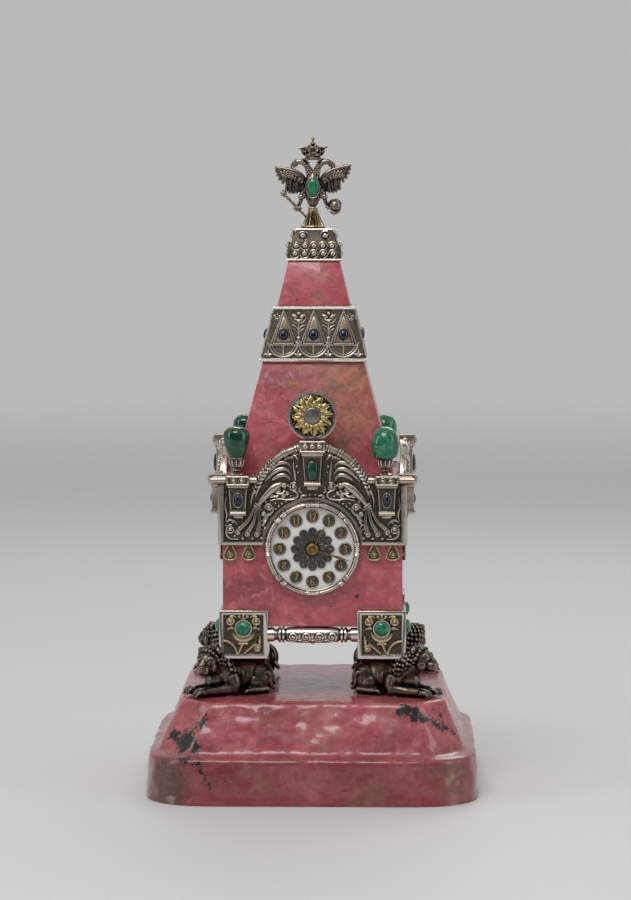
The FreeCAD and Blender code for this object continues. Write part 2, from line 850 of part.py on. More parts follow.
def lion_own_frame():
    slope = at(1, 0, 1)
    body_mid = at((LION_CHEST - LION_REAR) / 2, 0, LION_BODY_MID)
    body_half = (LION_REAR + LION_CHEST + LION_CHEST_R) / 2
    shapes = [
        facet_egg(body_half, LION_BODY_R, body_mid, ALONG_X),
        box(-LION_REAR / 2, LION_CHEST / 2, -LION_HALF_W, LION_HALF_W, LION_BODY_MID, LION_BACK_H),
        facet_egg(LION_CHEST_R + LION_PAW_R, LION_CHEST_R, at(LION_CHEST, 0, LION_CHEST_MID), slope),
        facet_ball(LION_MANE_R, at(LION_HEAD_X, 0, LION_HEAD_H)),
        facet_ball(LION_FACE_R, at(LION_FACE_X, 0, LION_HEAD_H)),
        facet_ball(LION_MUZZLE_R, at(LION_MUZZLE_X, 0, LION_MUZZLE_H)),
    ]
    for side in (-1, 1):
        hind_y = side * LION_HALF_W
        paw_y = side * LION_PAW_Y
        haunch = at(-LION_REAR / 2, side * LION_HAUNCH_Y, LION_HAUNCH_MID)
        shapes.append(facet_egg(LION_HAUNCH_LEN, LION_HAUNCH_R, haunch, slope))
        shapes.append(facet_limb(LION_PAW_R, at(LION_CHEST / 2, paw_y, LION_PAW_RISE),
                                 at(LION_PAW_X, paw_y, LION_PAW_RISE)))
        shapes.append(facet_limb(LION_PAW_R, at(-LION_REAR / 2, hind_y, LION_PAW_RISE),
                                 at(LION_HIND_X, hind_y, LION_PAW_RISE)))
    solid = joined(shapes)
    reach = LION_PAW_X + LION_REAR + BLOCK_SIZE
    above = box(-reach, reach, -reach, reach, 0, reach)
    return solid.common(above)


def lion():
    solid = lion_own_frame().rotated(ORIGIN, UP, -LION_YAW)
    solid = solid.translated(at(BLOCK_MID, -BLOCK_MID, Z_PLINTH))
    return solid.cut(block_envelope())


# Frieze plates
def side_wedge():
    reach = PLINTH_HALF
    return slab(((0, 0), (-reach, -reach), (reach, -reach)), 0, Z_CAP_TOP)


def frieze_mouldings():
    roll_y = -PLATE_FACE - ARCH_ROLL_OUT
    arch = Part.makeTorus(ARCH_R - ARCH_ROLL_R, ARCH_ROLL_R, at(0, roll_y, Z_ARCH), BACK)
    above = box(-ARCH_R, ARCH_R, roll_y - ARCH_ROLL_R, -BODY_HALF, Z_SHOULDER - CORNICE_H, KEY_TOP)
    reach = PLINTH_HALF
    strip_face = -PLATE_FACE - STRIP_OUT
    ring = ring_y(BEZEL_R + RING_MOULD_W, BEZEL_R, 0, Z_DIAL, strip_face, -PLATE_FACE)
    upper = box(-reach, reach, strip_face, -PLATE_FACE, Z_FRIEZE, Z_SHOULDER)
    shapes = [arch.common(above), ring.common(upper)]
    shapes.append(box(-reach, reach, strip_face, -PLATE_FACE, Z_FRIEZE, Z_FRIEZE + BOTTOM_STRIP_H))
    roll_r = CORNICE_H / 2
    for side in (-1, 1):
        edges = sorted((side * (PLATE_FACE - EDGE_STRIP_W), side * reach))
        shapes.append(box(edges[0], edges[1], strip_face, -PLATE_FACE, Z_FRIEZE, Z_SHOULDER))
        ends = sorted((side * CORNICE_START, side * reach))
        front = -PLATE_FACE - CORNICE_OUT
        shapes.append(box(ends[0], ends[1], front, -PLATE_FACE, Z_SHOULDER - CORNICE_H, Z_SHOULDER))
        shapes.append(rod_between(roll_r, at(ends[0], front, Z_SHOULDER - roll_r), at(ends[1], front, Z_SHOULDER - roll_r)))
    return shapes


def frieze():
    reach = PLINTH_HALF
    plate = box(-reach, reach, -PLATE_FACE, -BODY_HALF, Z_FRIEZE, Z_SHOULDER)
    gable = rod_y(ARCH_R, 0, Z_ARCH, -PLATE_FACE, -PLATE_FACE + GABLE_T)
    gable = gable.common(box(-ARCH_R, ARCH_R, -PLATE_FACE, -PLATE_FACE + GABLE_T, Z_SHOULDER, KEY_TOP))
    solid = joined([plate, gable] + frieze_mouldings()).common(side_wedge())
    solid = solid.cut(rod_y(BEZEL_R + FIT, 0, Z_DIAL, -PLATE_FACE - BEZEL_DEPTH, -BODY_HALF))
    posts = [pedestal(side * PEDESTAL_X) for side in (-1, 1)]
    return solid.cut(posts + [keystone()])


def frieze_drop(x):
    r = DROP_W / 2
    bulb = Z_FRIEZE - DROP_H + r * math.sqrt(1 / 2)
    outline = (
        (x - DROP_NECK_W / 2, Z_FRIEZE), (x - r, bulb), (x - r / 2, Z_FRIEZE - DROP_H),
        (x + r / 2, Z_FRIEZE - DROP_H), (x + r, bulb), (x + DROP_NECK_W / 2, Z_FRIEZE),
    )
    return prism(outline, -BODY_HALF - DROP_T, -BODY_HALF)


# Pedestals and keystones: a head, a neck, a taper, a foot and a half-round drop
def tapered(x, top_w, foot_w, out, z0, z1):
    y0 = -PLATE_FACE - out
    outline = ((x - foot_w / 2, z0), (x + foot_w / 2, z0), (x + top_w / 2, z1), (x - top_w / 2, z1))
    return prism(outline, y0, -PLATE_FACE)


def half_round(x, w, h, z_top):
    r = w / 2
    disc = rod_y(r, x, z_top, -PLATE_FACE - h, -PLATE_FACE)
    return disc.common(box(x - r, x + r, -PLATE_FACE - h, -PLATE_FACE, z_top - h, z_top))


def pedestal(x):
    neck_top = PEDESTAL_TOP - PEDESTAL_HEAD_H
    taper_top = neck_top - PEDESTAL_NECK_H
    foot_top = taper_top - PEDESTAL_TAPER_H
    drop_top = foot_top - PEDESTAL_FOOT_H
    half_head = PEDESTAL_HEAD_W / 2
    half_neck = PEDESTAL_NECK_W / 2
    half_foot = PEDESTAL_FOOT_W / 2
    face = -PLATE_FACE
    return joined([
        box(x - half_head, x + half_head, face - PEDESTAL_HEAD_OUT, face, neck_top, PEDESTAL_TOP),
        box(x - half_head, x + half_head, face, face + PEDESTAL_SLAB_BACK, Z_SHOULDER, PEDESTAL_TOP),
        box(x - half_neck, x + half_neck, face - PEDESTAL_FOOT_OUT, face, taper_top, neck_top),
        tapered(x, PEDESTAL_TAPER_TOP_W, PEDESTAL_TAPER_FOOT_W, PEDESTAL_TAPER_OUT, foot_top, taper_top),
        box(x - half_foot, x + half_foot, face - PEDESTAL_FOOT_OUT, face, drop_top, foot_top),
        half_round(x, PEDESTAL_DROP_W, PEDESTAL_DROP_H, drop_top),
    ])


def pedestal_gem(x):
    foot_top = PEDESTAL_TOP - PEDESTAL_HEAD_H - PEDESTAL_NECK_H - PEDESTAL_TAPER_H
    y = -PLATE_FACE - PEDESTAL_TAPER_OUT
    return cabochon(SMALL_GEM_HALF_W, SMALL_GEM_HALF_H, GEM_SUNK, x, y, foot_top + PEDESTAL_GEM_RISE)


def keystone():
    neck_top = KEY_TOP - KEY_HEAD_H
    taper_top = neck_top - KEY_NECK_H
    foot_top = taper_top - KEY_TAPER_H
    drop_top = foot_top - KEY_FOOT_H
    half_head = KEY_HEAD_W / 2
    half_neck = KEY_NECK_W / 2
    half_foot = KEY_FOOT_W / 2
    face = -PLATE_FACE
    return joined([
        box(-half_head, half_head, face - KEY_HEAD_OUT, face + KEY_HEAD_BACK, neck_top, KEY_TOP),
        box(-half_neck, half_neck, face - KEY_NECK_OUT, face, taper_top, neck_top),
        tapered(0, KEY_TAPER_TOP_W, KEY_TAPER_FOOT_W, KEY_TAPER_OUT, foot_top, taper_top),
        box(-half_foot, half_foot, face - KEY_FOOT_OUT, face, drop_top, foot_top),
        half_round(0, KEY_DROP_W, KEY_DROP_H, drop_top),
    ])


def keystone_gem():
    foot_top = KEY_TOP - KEY_HEAD_H - KEY_NECK_H - KEY_TAPER_H
    y = -PLATE_FACE - KEY_TAPER_OUT
    return cabochon(KEY_GEM_HALF_W, KEY_GEM_HALF_H, GEM_SUNK, 0, y, foot_top + KEY_GEM_RISE)


# Finials
def finial_cup(x, y):
    z = PEDESTAL_TOP
    rim = z + CUP_FOOT_H + CUP_NECK_H + CUP_BOWL_H
    solid = turned([
        (0, z), (CUP_FOOT_R, z), (CUP_FOOT_R, z + CUP_FOOT_H / 2), (CUP_NECK_R, z + CUP_FOOT_H + CUP_NECK_H / 2),
        (CUP_NECK_R, z + CUP_FOOT_H + CUP_NECK_H), (CUP_BOWL_R, rim), (0, rim),
    ], x, y)
    return solid.cut(finial_stone(x, y))


def finial_stone(x, y):
    z = PEDESTAL_TOP + CUP_FOOT_H + CUP_NECK_H + CUP_BOWL_H - CUP_DISH
    dome = dome_profile(z + FINIAL_FOOT_H, -FINIAL_TOP_H, FINIAL_R, 0, FACET_STEPS)
    return turned([(0, z), (FINIAL_FOOT_R, z)] + [(r, level) for level, r in reversed(dome)], x, y)


def finial_places():
    y = PLATE_FACE + FINIAL_OUT - FIT
    return [(sx * FINIAL_X, sy * y) for sx in (-1, 1) for sy in (-1, 1)]


# Eagle and its foot
def bell_foot():
    z = Z_CAP_TOP
    waist = z + BELL_FOOT_H + BELL_H
    solid = turned([
        (0, z), (BELL_FOOT_R, z), (BELL_FOOT_R, z + BELL_FOOT_H), (BELL_WAIST_R, waist),
        (BELL_COLLAR_R, waist + BELL_COLLAR_H / 4), (BELL_COLLAR_R, Z_COLLAR), (0, Z_COLLAR),
    ], EAGLE_X, 0)
    return solid.cut(tie_hole(z, z + TIE_TOP_H))


def eagle_at(x, h):
    return at(EAGLE_X + x, 0, Z_COLLAR + h)


def eagle_wing(side):
    outline = [
        (EAGLE_X + side * share_x * WING_SPAN, Z_COLLAR + WING_FOOT_H + share_z * WING_H)
        for share_x, share_z in WING_SHARES
    ]
    return prism(outline, -WING_T / 2, WING_T / 2)


def eagle_head(side):
    head = eagle_at(side * EAGLE_HEAD_X, EAGLE_HEAD_H)
    neck = eagle_at(side * EAGLE_NECK_X, EAGLE_NECK_H)
    beak_tip = head + at(side * EAGLE_BEAK_LEN, 0, -EAGLE_BEAK_DIP)
    return [
        facet_limb(EAGLE_NECK_R, eagle_at(0, EAGLE_BODY_H), neck),
        facet_limb(EAGLE_NECK_R, neck, head),
        facet_ball(EAGLE_HEAD_R, head),
        facet_rod(EAGLE_BEAK_R, EAGLE_BEAK_TIP_R, head, beak_tip),
    ]


def eagle_crown():
    base_top = CROWN_FOOT_H + CROWN_BASE_H
    ball = CROWN_TOP_H - CROWN_BALL_R
    shapes = [
        facet_rod(CROWN_POST_R, CROWN_POST_R, eagle_at(0, EAGLE_BODY_H), eagle_at(0, base_top)),
        facet_rod(CROWN_BASE_R, CROWN_BASE_R, eagle_at(0, CROWN_FOOT_H), eagle_at(0, base_top)),
        facet_rod(CROWN_DOME_R, CROWN_KNOB_R, eagle_at(0, base_top), eagle_at(0, base_top + CROWN_DOME_H)),
        facet_rod(CROWN_STEM_R, CROWN_STEM_R, eagle_at(0, base_top), eagle_at(0, ball)),
        facet_ball(CROWN_KNOB_R, eagle_at(0, CROWN_KNOB_H)),
        facet_ball(CROWN_BALL_R, eagle_at(0, ball)),
    ]
    for side in (-1, 1):
        low = eagle_at(side * CROWN_DOME_R / 2, CROWN_FOOT_H + RIBBON_R)
        shapes.append(facet_limb(RIBBON_R, low, eagle_at(side * RIBBON_X, RIBBON_H)))
    return shapes


def eagle_regalia():
    orb = eagle_at(ORB_X, ORB_H)
    claw = eagle_at(-CLAW_X, CLAW_H)
    knob = eagle_at(-SCEPTRE_TOP_X, SCEPTRE_TOP_H)
    shapes = [
        facet_limb(FOOT_R, eagle_at(LEG_X, LEG_H), orb),
        facet_ball(ORB_R, orb),
        facet_limb(FOOT_R, eagle_at(-LEG_X, LEG_H), claw),
        facet_ball(CLAW_R, claw),
        facet_limb(SCEPTRE_R, eagle_at(-SCEPTRE_LOW_X, SCEPTRE_LOW_H), claw),
        facet_limb(SCEPTRE_R, claw, knob),
        facet_ball(SCEPTRE_KNOB_R, knob),
    ]
    for side in (-1, 1):
        shapes.append(facet_limb(LEG_R, eagle_at(0, LEG_ROOT_H), eagle_at(side * LEG_X, LEG_H)))
    return shapes


def eagle_emerald():
    z = Z_COLLAR + CHEST_GEM_H
    return cabochon(CHEST_GEM_HALF_W, CHEST_GEM_HALF_H, GEM_SUNK, EAGLE_X, -CHEST_SEAT_OUT, z)


def chest_seat_tool():
    half_w = CHEST_GEM_HALF_W + CHEST_SEAT_RIM
    half_h = CHEST_GEM_HALF_H + CHEST_SEAT_RIM
    z = Z_COLLAR + CHEST_GEM_H
    return box(EAGLE_X - half_w, EAGLE_X + half_w, -half_h, -CHEST_SEAT_OUT, z - half_h, z + half_h)


def eagle():
    shapes = [
        facet_rod(EAGLE_TAIL_R, EAGLE_TAIL_R, eagle_at(0, 0), eagle_at(0, EAGLE_BODY_H)),
        facet_egg(EAGLE_BODY_HALF_H, EAGLE_BODY_R, eagle_at(0, EAGLE_BODY_H), UP),
    ]
    for side in (-1, 1):
        shapes.append(eagle_wing(side))
        shapes.extend(eagle_head(side))
    solid = joined(shapes + eagle_crown() + eagle_regalia())
    return solid.cut(chest_seat_tool()).cut(bell_foot())


# Sun disc
def sun_disc():
    z = KEY_TOP + SUN_R
    front = -PLATE_FACE - SUN_OUT
    back = front + SUN_T
    shapes = [
        rod_y(SUN_R, 0, z, front, back),
        ring_y(SUN_R, SUN_R - SUN_RIM_W, 0, z, front - SUN_RIM_OUT, back),
        box(-SUN_FOOT_HALF, SUN_FOOT_HALF, front, back, KEY_TOP, KEY_TOP + SUN_FOOT_H),
        Part.makeCone(SUN_BOSS_R, SUN_BOSS_R / 2, SUN_BOSS_OUT, at(0, front, z), FRONT),
    ]
    return joined(shapes)


def sun_rays():
    z = KEY_TOP + SUN_R
    front = -PLATE_FACE - SUN_OUT
    reach = RAY_TIP_R - RAY_ROOT_R
    outline = [(RAY_ROOT_R + along * reach, z + across * RAY_HALF_W) for along, across in RAY_SHARES]
    ray = prism(outline, front - RAY_T, front)
    rays = [ray.rotated(at(0, 0, z), BACK, FULL_TURN * i / RAY_COUNT) for i in range(RAY_COUNT)]
    collar = ring_y(RAY_ROOT_R + RAY_HALF_W / 2, SUN_BOSS_R + FIT, 0, z, front - RAY_T, front)
    return joined([collar] + rays)


# Bezel, dial and hands
def bezel():
    back = -BODY_HALF
    front = back - BEZEL_DEPTH
    crown = front + BEZEL_CROWN_R
    lip_back = Y_DIAL
    return turned_y([
        (DIAL_R, back), (BEZEL_R, back), (BEZEL_R, crown), (BEZEL_R - BEZEL_CROWN_R / 2, front),
        (BEZEL_LIP_R + BEZEL_CROWN_R, front), (BEZEL_LIP_R, lip_back - BEZEL_LIP_T),
        (BEZEL_LIP_R, lip_back), (DIAL_R, lip_back),
    ], 0, Z_DIAL)


def dial_plate():
    return ring_y(DIAL_R, DIAL_HOLE_R, 0, Z_DIAL, Y_DIAL, -BODY_HALF)


def numeral_discs():
    discs = []
    for i in range(NUMERAL_COUNT):
        angle = 2 * math.pi * i / NUMERAL_COUNT
        x = NUMERAL_RING_R * math.sin(angle)
        z = Z_DIAL + NUMERAL_RING_R * math.cos(angle)
        discs.append(rod_y(NUMERAL_R, x, z, Y_DIAL - NUMERAL_T, Y_DIAL))
    return group(discs)


def dial_rosette():
    shapes = []
    for tier, (count, ring_share, petal_share) in enumerate(ROSETTE_TIER_SHARES):
        y1 = Y_DIAL - tier * ROSETTE_STEP
        y0 = y1 - ROSETTE_STEP
        shapes.append(rod_y(ring_share * ROSETTE_R, 0, Z_DIAL, y0, y1))
        for i in range(count):
            angle = 2 * math.pi * (i + tier / 2) / count
            x = ring_share * ROSETTE_R * math.cos(angle)
            z = Z_DIAL + ring_share * ROSETTE_R * math.sin(angle)
            shapes.append(rod_y(petal_share * ROSETTE_R, x, z, y0, y1))
    hole = rod_y(DIAL_HOLE_R, 0, Z_DIAL, Y_HOUR_HAND, Y_DIAL)
    return joined(shapes).cut(hole)


def hand(length, bore_r, y1, angle):
    y0 = y1 - HAND_T
    leaf = length * HAND_LEAF_SHARE
    outline = (
        (-HAND_ROOT_HALF, 0), (HAND_ROOT_HALF, 0), (HAND_TIP_HALF, leaf - HAND_LEAF_HALF),
        (HAND_LEAF_HALF, leaf), (HAND_TIP_HALF, leaf + HAND_LEAF_HALF), (HAND_TIP_HALF, length),
        (-HAND_TIP_HALF, length), (-HAND_TIP_HALF, leaf + HAND_LEAF_HALF), (-HAND_LEAF_HALF, leaf),
        (-HAND_TIP_HALF, leaf - HAND_LEAF_HALF),
    )
    blade = prism([(x, Z_DIAL + z) for x, z in outline], y0, y1)
    solid = joined([blade, rod_y(HUB_R, 0, Z_DIAL, y0, y1)]).cut(rod_y(bore_r, 0, Z_DIAL, y0, y1))
    return solid.rotated(at(0, 0, Z_DIAL), BACK, angle)


def hour_hand():
    return hand(HOUR_LEN, HOUR_PIPE_R, Y_HOUR_HAND, HOUR_ANGLE)


def minute_hand():
    plate = hand(MINUTE_LEN, CANNON_PIPE_R, Y_MINUTE_HAND, MINUTE_ANGLE)
    front = Y_MINUTE_HAND - HAND_T
    cap = Part.makeCone(HUB_R * HAND_LEAF_SHARE, CANNON_BORE_R, HUB_CAP_H, at(0, front, Z_DIAL), FRONT)
    return joined([plate, cap])


# Places of the arbors, from the sizes of the wheels
def pitch_r(module, teeth):
    return module * teeth / 2


def tip_r(module, teeth):
    return pitch_r(module, teeth) + TOOTH_ADDENDUM_SHARE * module


def step_from(place, distance, direction):
    angle = math.radians(direction)
    return (place[0] + distance * math.cos(angle), place[1] + distance * math.sin(angle))


def mesh_distance(module, teeth_a, teeth_b):
    return pitch_r(module, teeth_a) + pitch_r(module, teeth_b)


CENTRE_AT = (0, Z_DIAL)
BARREL_AT = step_from(CENTRE_AT, mesh_distance(GOING_MODULE, BARREL_TEETH, CENTRE_PINION_TEETH), BARREL_DIR)
THIRD_AT = step_from(CENTRE_AT, mesh_distance(GOING_MODULE, CENTRE_TEETH, THIRD_PINION_TEETH), THIRD_DIR)
OPEN_DISTANCE = tip_r(THIRD_MODULE, THIRD_TEETH) + tip_r(THIRD_MODULE, FOURTH_PINION_TEETH) + OPEN_MESH_GAP
FOURTH_AT = step_from(THIRD_AT, OPEN_DISTANCE, FOURTH_DIR)
ESCAPE_AT = step_from(FOURTH_AT, mesh_distance(ESCAPE_MODULE, FOURTH_TEETH, ESCAPE_PINION_TEETH), ESCAPE_DIR)
PALLET_AT = step_from(ESCAPE_AT, PALLET_DISTANCE, PALLET_DIR)
BALANCE_AT = step_from(PALLET_AT, BALANCE_DISTANCE, BALANCE_DIR)
MINUTE_AT = step_from(CENTRE_AT, mesh_distance(MOTION_MODULE, CANNON_TEETH, MINUTE_TEETH), MINUTE_DIR)


# A wheel of flat-sided teeth with one tooth centred on the given direction
def toothed(place, module, teeth, direction, y0, y1):
    pitch = pitch_r(module, teeth)
    step = 2 * math.pi / teeth
    points = []
    for i in range(teeth):
        middle = math.radians(direction) + i * step
        for r, share in (
            (pitch - TOOTH_DEDENDUM_SHARE * module, -TOOTH_ROOT_SHARE),
            (pitch, -TOOTH_PITCH_SHARE),
            (tip_r(module, teeth), -TOOTH_TIP_SHARE),
            (tip_r(module, teeth), TOOTH_TIP_SHARE),
            (pitch, TOOTH_PITCH_SHARE),
            (pitch - TOOTH_DEDENDUM_SHARE * module, TOOTH_ROOT_SHARE),
        ):
            angle = middle + share * step
            points.append((place[0] + r * math.cos(angle), place[1] + r * math.sin(angle)))
    return prism(points, y0, y1)


# The driven wheel shows a gap to the driver, so its tooth is half a step round
def facing(direction, teeth):
    return direction + HALF_TURN + HALF_TURN / teeth


def shaft(place, r, y0, y1):
    return rod_y(r, place[0], place[1], y0, y1)


def pivoted(place, r, pivot_front, pivot_back):
    return [
        shaft(place, r, Y_FRONT_INNER + FIT, Y_BACK_PLATE - FIT),
        shaft(place, PIVOT_R, pivot_front, pivot_back),
    ]


# Movement frame
def drum_case():
    tube = ring_y(CASE_R, CASE_INNER_R, 0, Z_DIAL, -BODY_HALF, BODY_HALF)
    lip = ring_y(CASE_R, CASE_LIP_R, 0, Z_DIAL, -BODY_HALF, -BODY_HALF + CASE_LIP_T)
    return joined([tube, lip])


def pivot_hole(place, r, y0, y1):
    return shaft(place, r + FIT, y0, y1)


def front_plate():
    plate = rod_y(CASE_INNER_R, 0, Z_DIAL, Y_FRONT_PLATE, Y_FRONT_INNER)
    shapes = [plate]
    for angle in PILLAR_ANGLES:
        place = step_from(CENTRE_AT, PILLAR_RING_R, angle)
        shapes.append(shaft(place, PILLAR_R, Y_FRONT_INNER, Y_BACK_PLATE))
    stud_front = Y_FRONT_PLATE - HOUR_LEVEL - WHEEL_T
    shapes.append(shaft(MINUTE_AT, STUD_R, stud_front, Y_FRONT_PLATE))
    tools = [pivot_hole(CENTRE_AT, CANNON_BORE_R, Y_FRONT_PLATE, Y_FRONT_INNER)]
    for place in (BARREL_AT, THIRD_AT, FOURTH_AT, ESCAPE_AT):
        tools.append(pivot_hole(place, PIVOT_R, Y_FRONT_PLATE, Y_FRONT_INNER))
    return joined(shapes).cut(tools)


def back_plate():
    plate = rod_y(CASE_INNER_R, 0, Z_DIAL, Y_BACK_PLATE, Y_BACK_OUTER)
    tools = [pivot_hole(BARREL_AT, BARREL_ARBOR_R, Y_BACK_PLATE, Y_BACK_OUTER)]
    for place in (CENTRE_AT, THIRD_AT, FOURTH_AT, ESCAPE_AT, PALLET_AT, BALANCE_AT):
        tools.append(pivot_hole(place, PIVOT_R, Y_BACK_PLATE, Y_BACK_OUTER))
    return plate.cut(tools)


# Going train
def barrel_span():
    y0 = Y_FRONT_INNER + BARREL_LEVEL
    return y0, y0 + BARREL_H


def mainspring_barrel():
    y0, y1 = barrel_span()
    drum = shaft(BARREL_AT, BARREL_DRUM_R, y0, y1)
    hollow = shaft(BARREL_AT, BARREL_DRUM_R - BARREL_WALL, y0 + BARREL_WALL, y1 - WHEEL_T)
    teeth = toothed(BARREL_AT, GOING_MODULE, BARREL_TEETH, BARREL_DIR + HALF_TURN, y1 - WHEEL_T, y1)
    return joined([drum, teeth]).cut(hollow).cut(shaft(BARREL_AT, BARREL_ARBOR_R + FIT, y0, y1))


def spiral(place, r_in, r_out, coils, steps, thick, y0, y1):
    count = coils * steps
    inner, outer = [], []
    for i in range(count + 1):
        angle = 2 * math.pi * i / steps
        r = r_in + (r_out - r_in) * i / count
        inner.append((place[0] + (r - thick / 2) * math.cos(angle), place[1] + (r - thick / 2) * math.sin(angle)))
        outer.append((place[0] + (r + thick / 2) * math.cos(angle), place[1] + (r + thick / 2) * math.sin(angle)))
    return prism(inner + outer[::-1], y0, y1)


def mainspring():
    y0, y1 = barrel_span()
    r_out = BARREL_DRUM_R - BARREL_WALL - SPRING_T
    return spiral(BARREL_AT, SPRING_INNER_R, r_out, SPRING_COILS, SPRING_STEPS, SPRING_T,
                  y0 + BARREL_WALL + SPRING_SIDE_GAP, y1 - WHEEL_T - SPRING_SIDE_GAP)


def barrel_arbor():
    end = Y_BACK_OUTER + KEY_PIPE_START + KEY_PIPE_R
    return joined([
        shaft(BARREL_AT, BARREL_ARBOR_R, Y_FRONT_INNER + FIT, end),
        shaft(BARREL_AT, PIVOT_R, Y_FRONT_PLATE, Y_FRONT_INNER + FIT),
    ])


def centre_wheel():
    leaf_y1 = barrel_span()[1] + LEAF_EXTRA
    leaf_y0 = leaf_y1 - WHEEL_T - 2 * LEAF_EXTRA
    wheel_y = Y_FRONT_INNER + CENTRE_LEVEL
    pinion = toothed(CENTRE_AT, GOING_MODULE, CENTRE_PINION_TEETH,
                     facing(BARREL_DIR + HALF_TURN, CENTRE_PINION_TEETH), leaf_y0, leaf_y1)
    wheel = toothed(CENTRE_AT, GOING_MODULE, CENTRE_TEETH, THIRD_DIR, wheel_y, wheel_y + WHEEL_T)
    nose = Y_MINUTE_HAND - HAND_T
    return joined([
        shaft(CENTRE_AT, ARBOR_R, Y_FRONT_INNER + FIT, Y_BACK_PLATE - FIT),
        shaft(CENTRE_AT, CANNON_BORE_R, nose, Y_FRONT_INNER + FIT),
        shaft(CENTRE_AT, PIVOT_R, Y_BACK_PLATE - FIT, Y_BACK_OUTER),
        pinion,
        wheel,
    ])


def third_wheel():
    leaf_y = Y_FRONT_INNER + CENTRE_LEVEL - LEAF_EXTRA
    wheel_y = Y_FRONT_INNER + THIRD_LEVEL
    pinion = toothed(THIRD_AT, GOING_MODULE, THIRD_PINION_TEETH, facing(THIRD_DIR, THIRD_PINION_TEETH),
                     leaf_y, leaf_y + WHEEL_T + 2 * LEAF_EXTRA)
    wheel = toothed(THIRD_AT, THIRD_MODULE, THIRD_TEETH, FOURTH_DIR, wheel_y, wheel_y + WHEEL_T)
    return joined(pivoted(THIRD_AT, FINE_ARBOR_R, Y_FRONT_PLATE, Y_BACK_OUTER) + [pinion, wheel])


def fourth_wheel():
    leaf_y = Y_FRONT_INNER + THIRD_LEVEL - LEAF_EXTRA
    wheel_y = Y_FRONT_INNER + FOURTH_LEVEL
    pinion = toothed(FOURTH_AT, THIRD_MODULE, FOURTH_PINION_TEETH, FOURTH_DIR,
                     leaf_y, leaf_y + WHEEL_T + 2 * LEAF_EXTRA)
    wheel = toothed(FOURTH_AT, ESCAPE_MODULE, FOURTH_TEETH, ESCAPE_DIR, wheel_y, wheel_y + WHEEL_T)
    return joined(pivoted(FOURTH_AT, FINE_ARBOR_R, Y_FRONT_PLATE, Y_BACK_OUTER) + [pinion, wheel])


# Escapement behind the back plate
def cock_face():
    return Y_BACK_OUTER + COCK_SET


def escape_wheel():
    leaf_y = Y_FRONT_INNER + FOURTH_LEVEL - LEAF_EXTRA
    pinion = toothed(ESCAPE_AT, ESCAPE_MODULE, ESCAPE_PINION_TEETH, facing(ESCAPE_DIR, ESCAPE_PINION_TEETH),
                     leaf_y, leaf_y + WHEEL_T + 2 * LEAF_EXTRA)
    y0 = Y_BACK_OUTER + ESCAPE_SET
    step = 2 * math.pi / ESCAPE_TEETH
    points = []
    for i in range(ESCAPE_TEETH):
        for r, share in ((ESCAPE_ROOT_SHARE * ESCAPE_R, 0), (ESCAPE_R, ESCAPE_LEAN_SHARE)):
            angle = (i + share) * step
            points.append((ESCAPE_AT[0] + r * math.cos(angle), ESCAPE_AT[1] + r * math.sin(angle)))
    wheel = prism(points, y0, y0 + ESCAPE_T)
    shapes = pivoted(ESCAPE_AT, PIVOT_R + FIT, Y_FRONT_PLATE, cock_face() + COCK_T)
    return joined(shapes + [pinion, wheel])


def rotated_bar(place, length, half_w, direction, y0, y1):
    bar_box = box(place[0], place[0] + length, y0, y1, place[1] - half_w, place[1] + half_w)
    return bar_box.rotated(at(place[0], 0, place[1]), BACK, -direction)


def pallet_fork():
    y0 = Y_BACK_OUTER + ESCAPE_SET
    y1 = y0 + ESCAPE_T
    shapes = [
        shaft(PALLET_AT, PIVOT_R, Y_BACK_PLATE, cock_face() + COCK_T),
        shaft(PALLET_AT, PALLET_HALF_W + PIVOT_R, y0, y1),
        rotated_bar(PALLET_AT, FORK_LEN - PALLET_HALF_W, PALLET_HALF_W / 2, BALANCE_DIR, y0, y1),
    ]
    for side in (-1, 1):
        direction = PALLET_DIR + HALF_TURN + side * PALLET_SPREAD
        shapes.append(rotated_bar(PALLET_AT, PALLET_ARM, PALLET_HALF_W, direction, y0, y1))
        prong = step_from(PALLET_AT, FORK_LEN - 2 * PALLET_HALF_W, BALANCE_DIR)
        prong = step_from(prong, FORK_HALF_GAP, BALANCE_DIR + side * QUARTER)
        shapes.append(rotated_bar(prong, 2 * PALLET_HALF_W, PALLET_HALF_W / 2, BALANCE_DIR, y0, y1))
    return joined(shapes)


def balance_wheel():
    y0 = Y_BACK_OUTER + BALANCE_SET
    y1 = y0 + BALANCE_T
    roller_y = Y_BACK_OUTER + ESCAPE_SET
    x, z = BALANCE_AT
    shapes = [
        ring_y(BALANCE_R, BALANCE_R - BALANCE_RIM_W, x, z, y0, y1),
        box(x - BALANCE_R + FIT, x + BALANCE_R - FIT, y0 + FIT, y1 - FIT, z - BALANCE_ARM_HALF, z + BALANCE_ARM_HALF),
        shaft(BALANCE_AT, STAFF_R, Y_BACK_OUTER + FIT, cock_face() - FIT),
        shaft(BALANCE_AT, PIVOT_R, Y_BACK_PLATE, cock_face() + COCK_T),
        shaft(BALANCE_AT, ROLLER_R, roller_y, roller_y + ESCAPE_T),
    ]
    return joined(shapes)


def hairspring():
    y0 = Y_BACK_OUTER + HAIR_SET
    coil = spiral(BALANCE_AT, HAIR_INNER_R, HAIR_OUTER_R, HAIR_COILS, SPRING_STEPS, HAIR_T, y0, y0 + HAIR_W)
    collet = shaft(BALANCE_AT, COLLET_R, y0, y0 + HAIR_W)
    return joined([coil, collet]).cut(shaft(BALANCE_AT, STAFF_R, y0, y0 + HAIR_W))


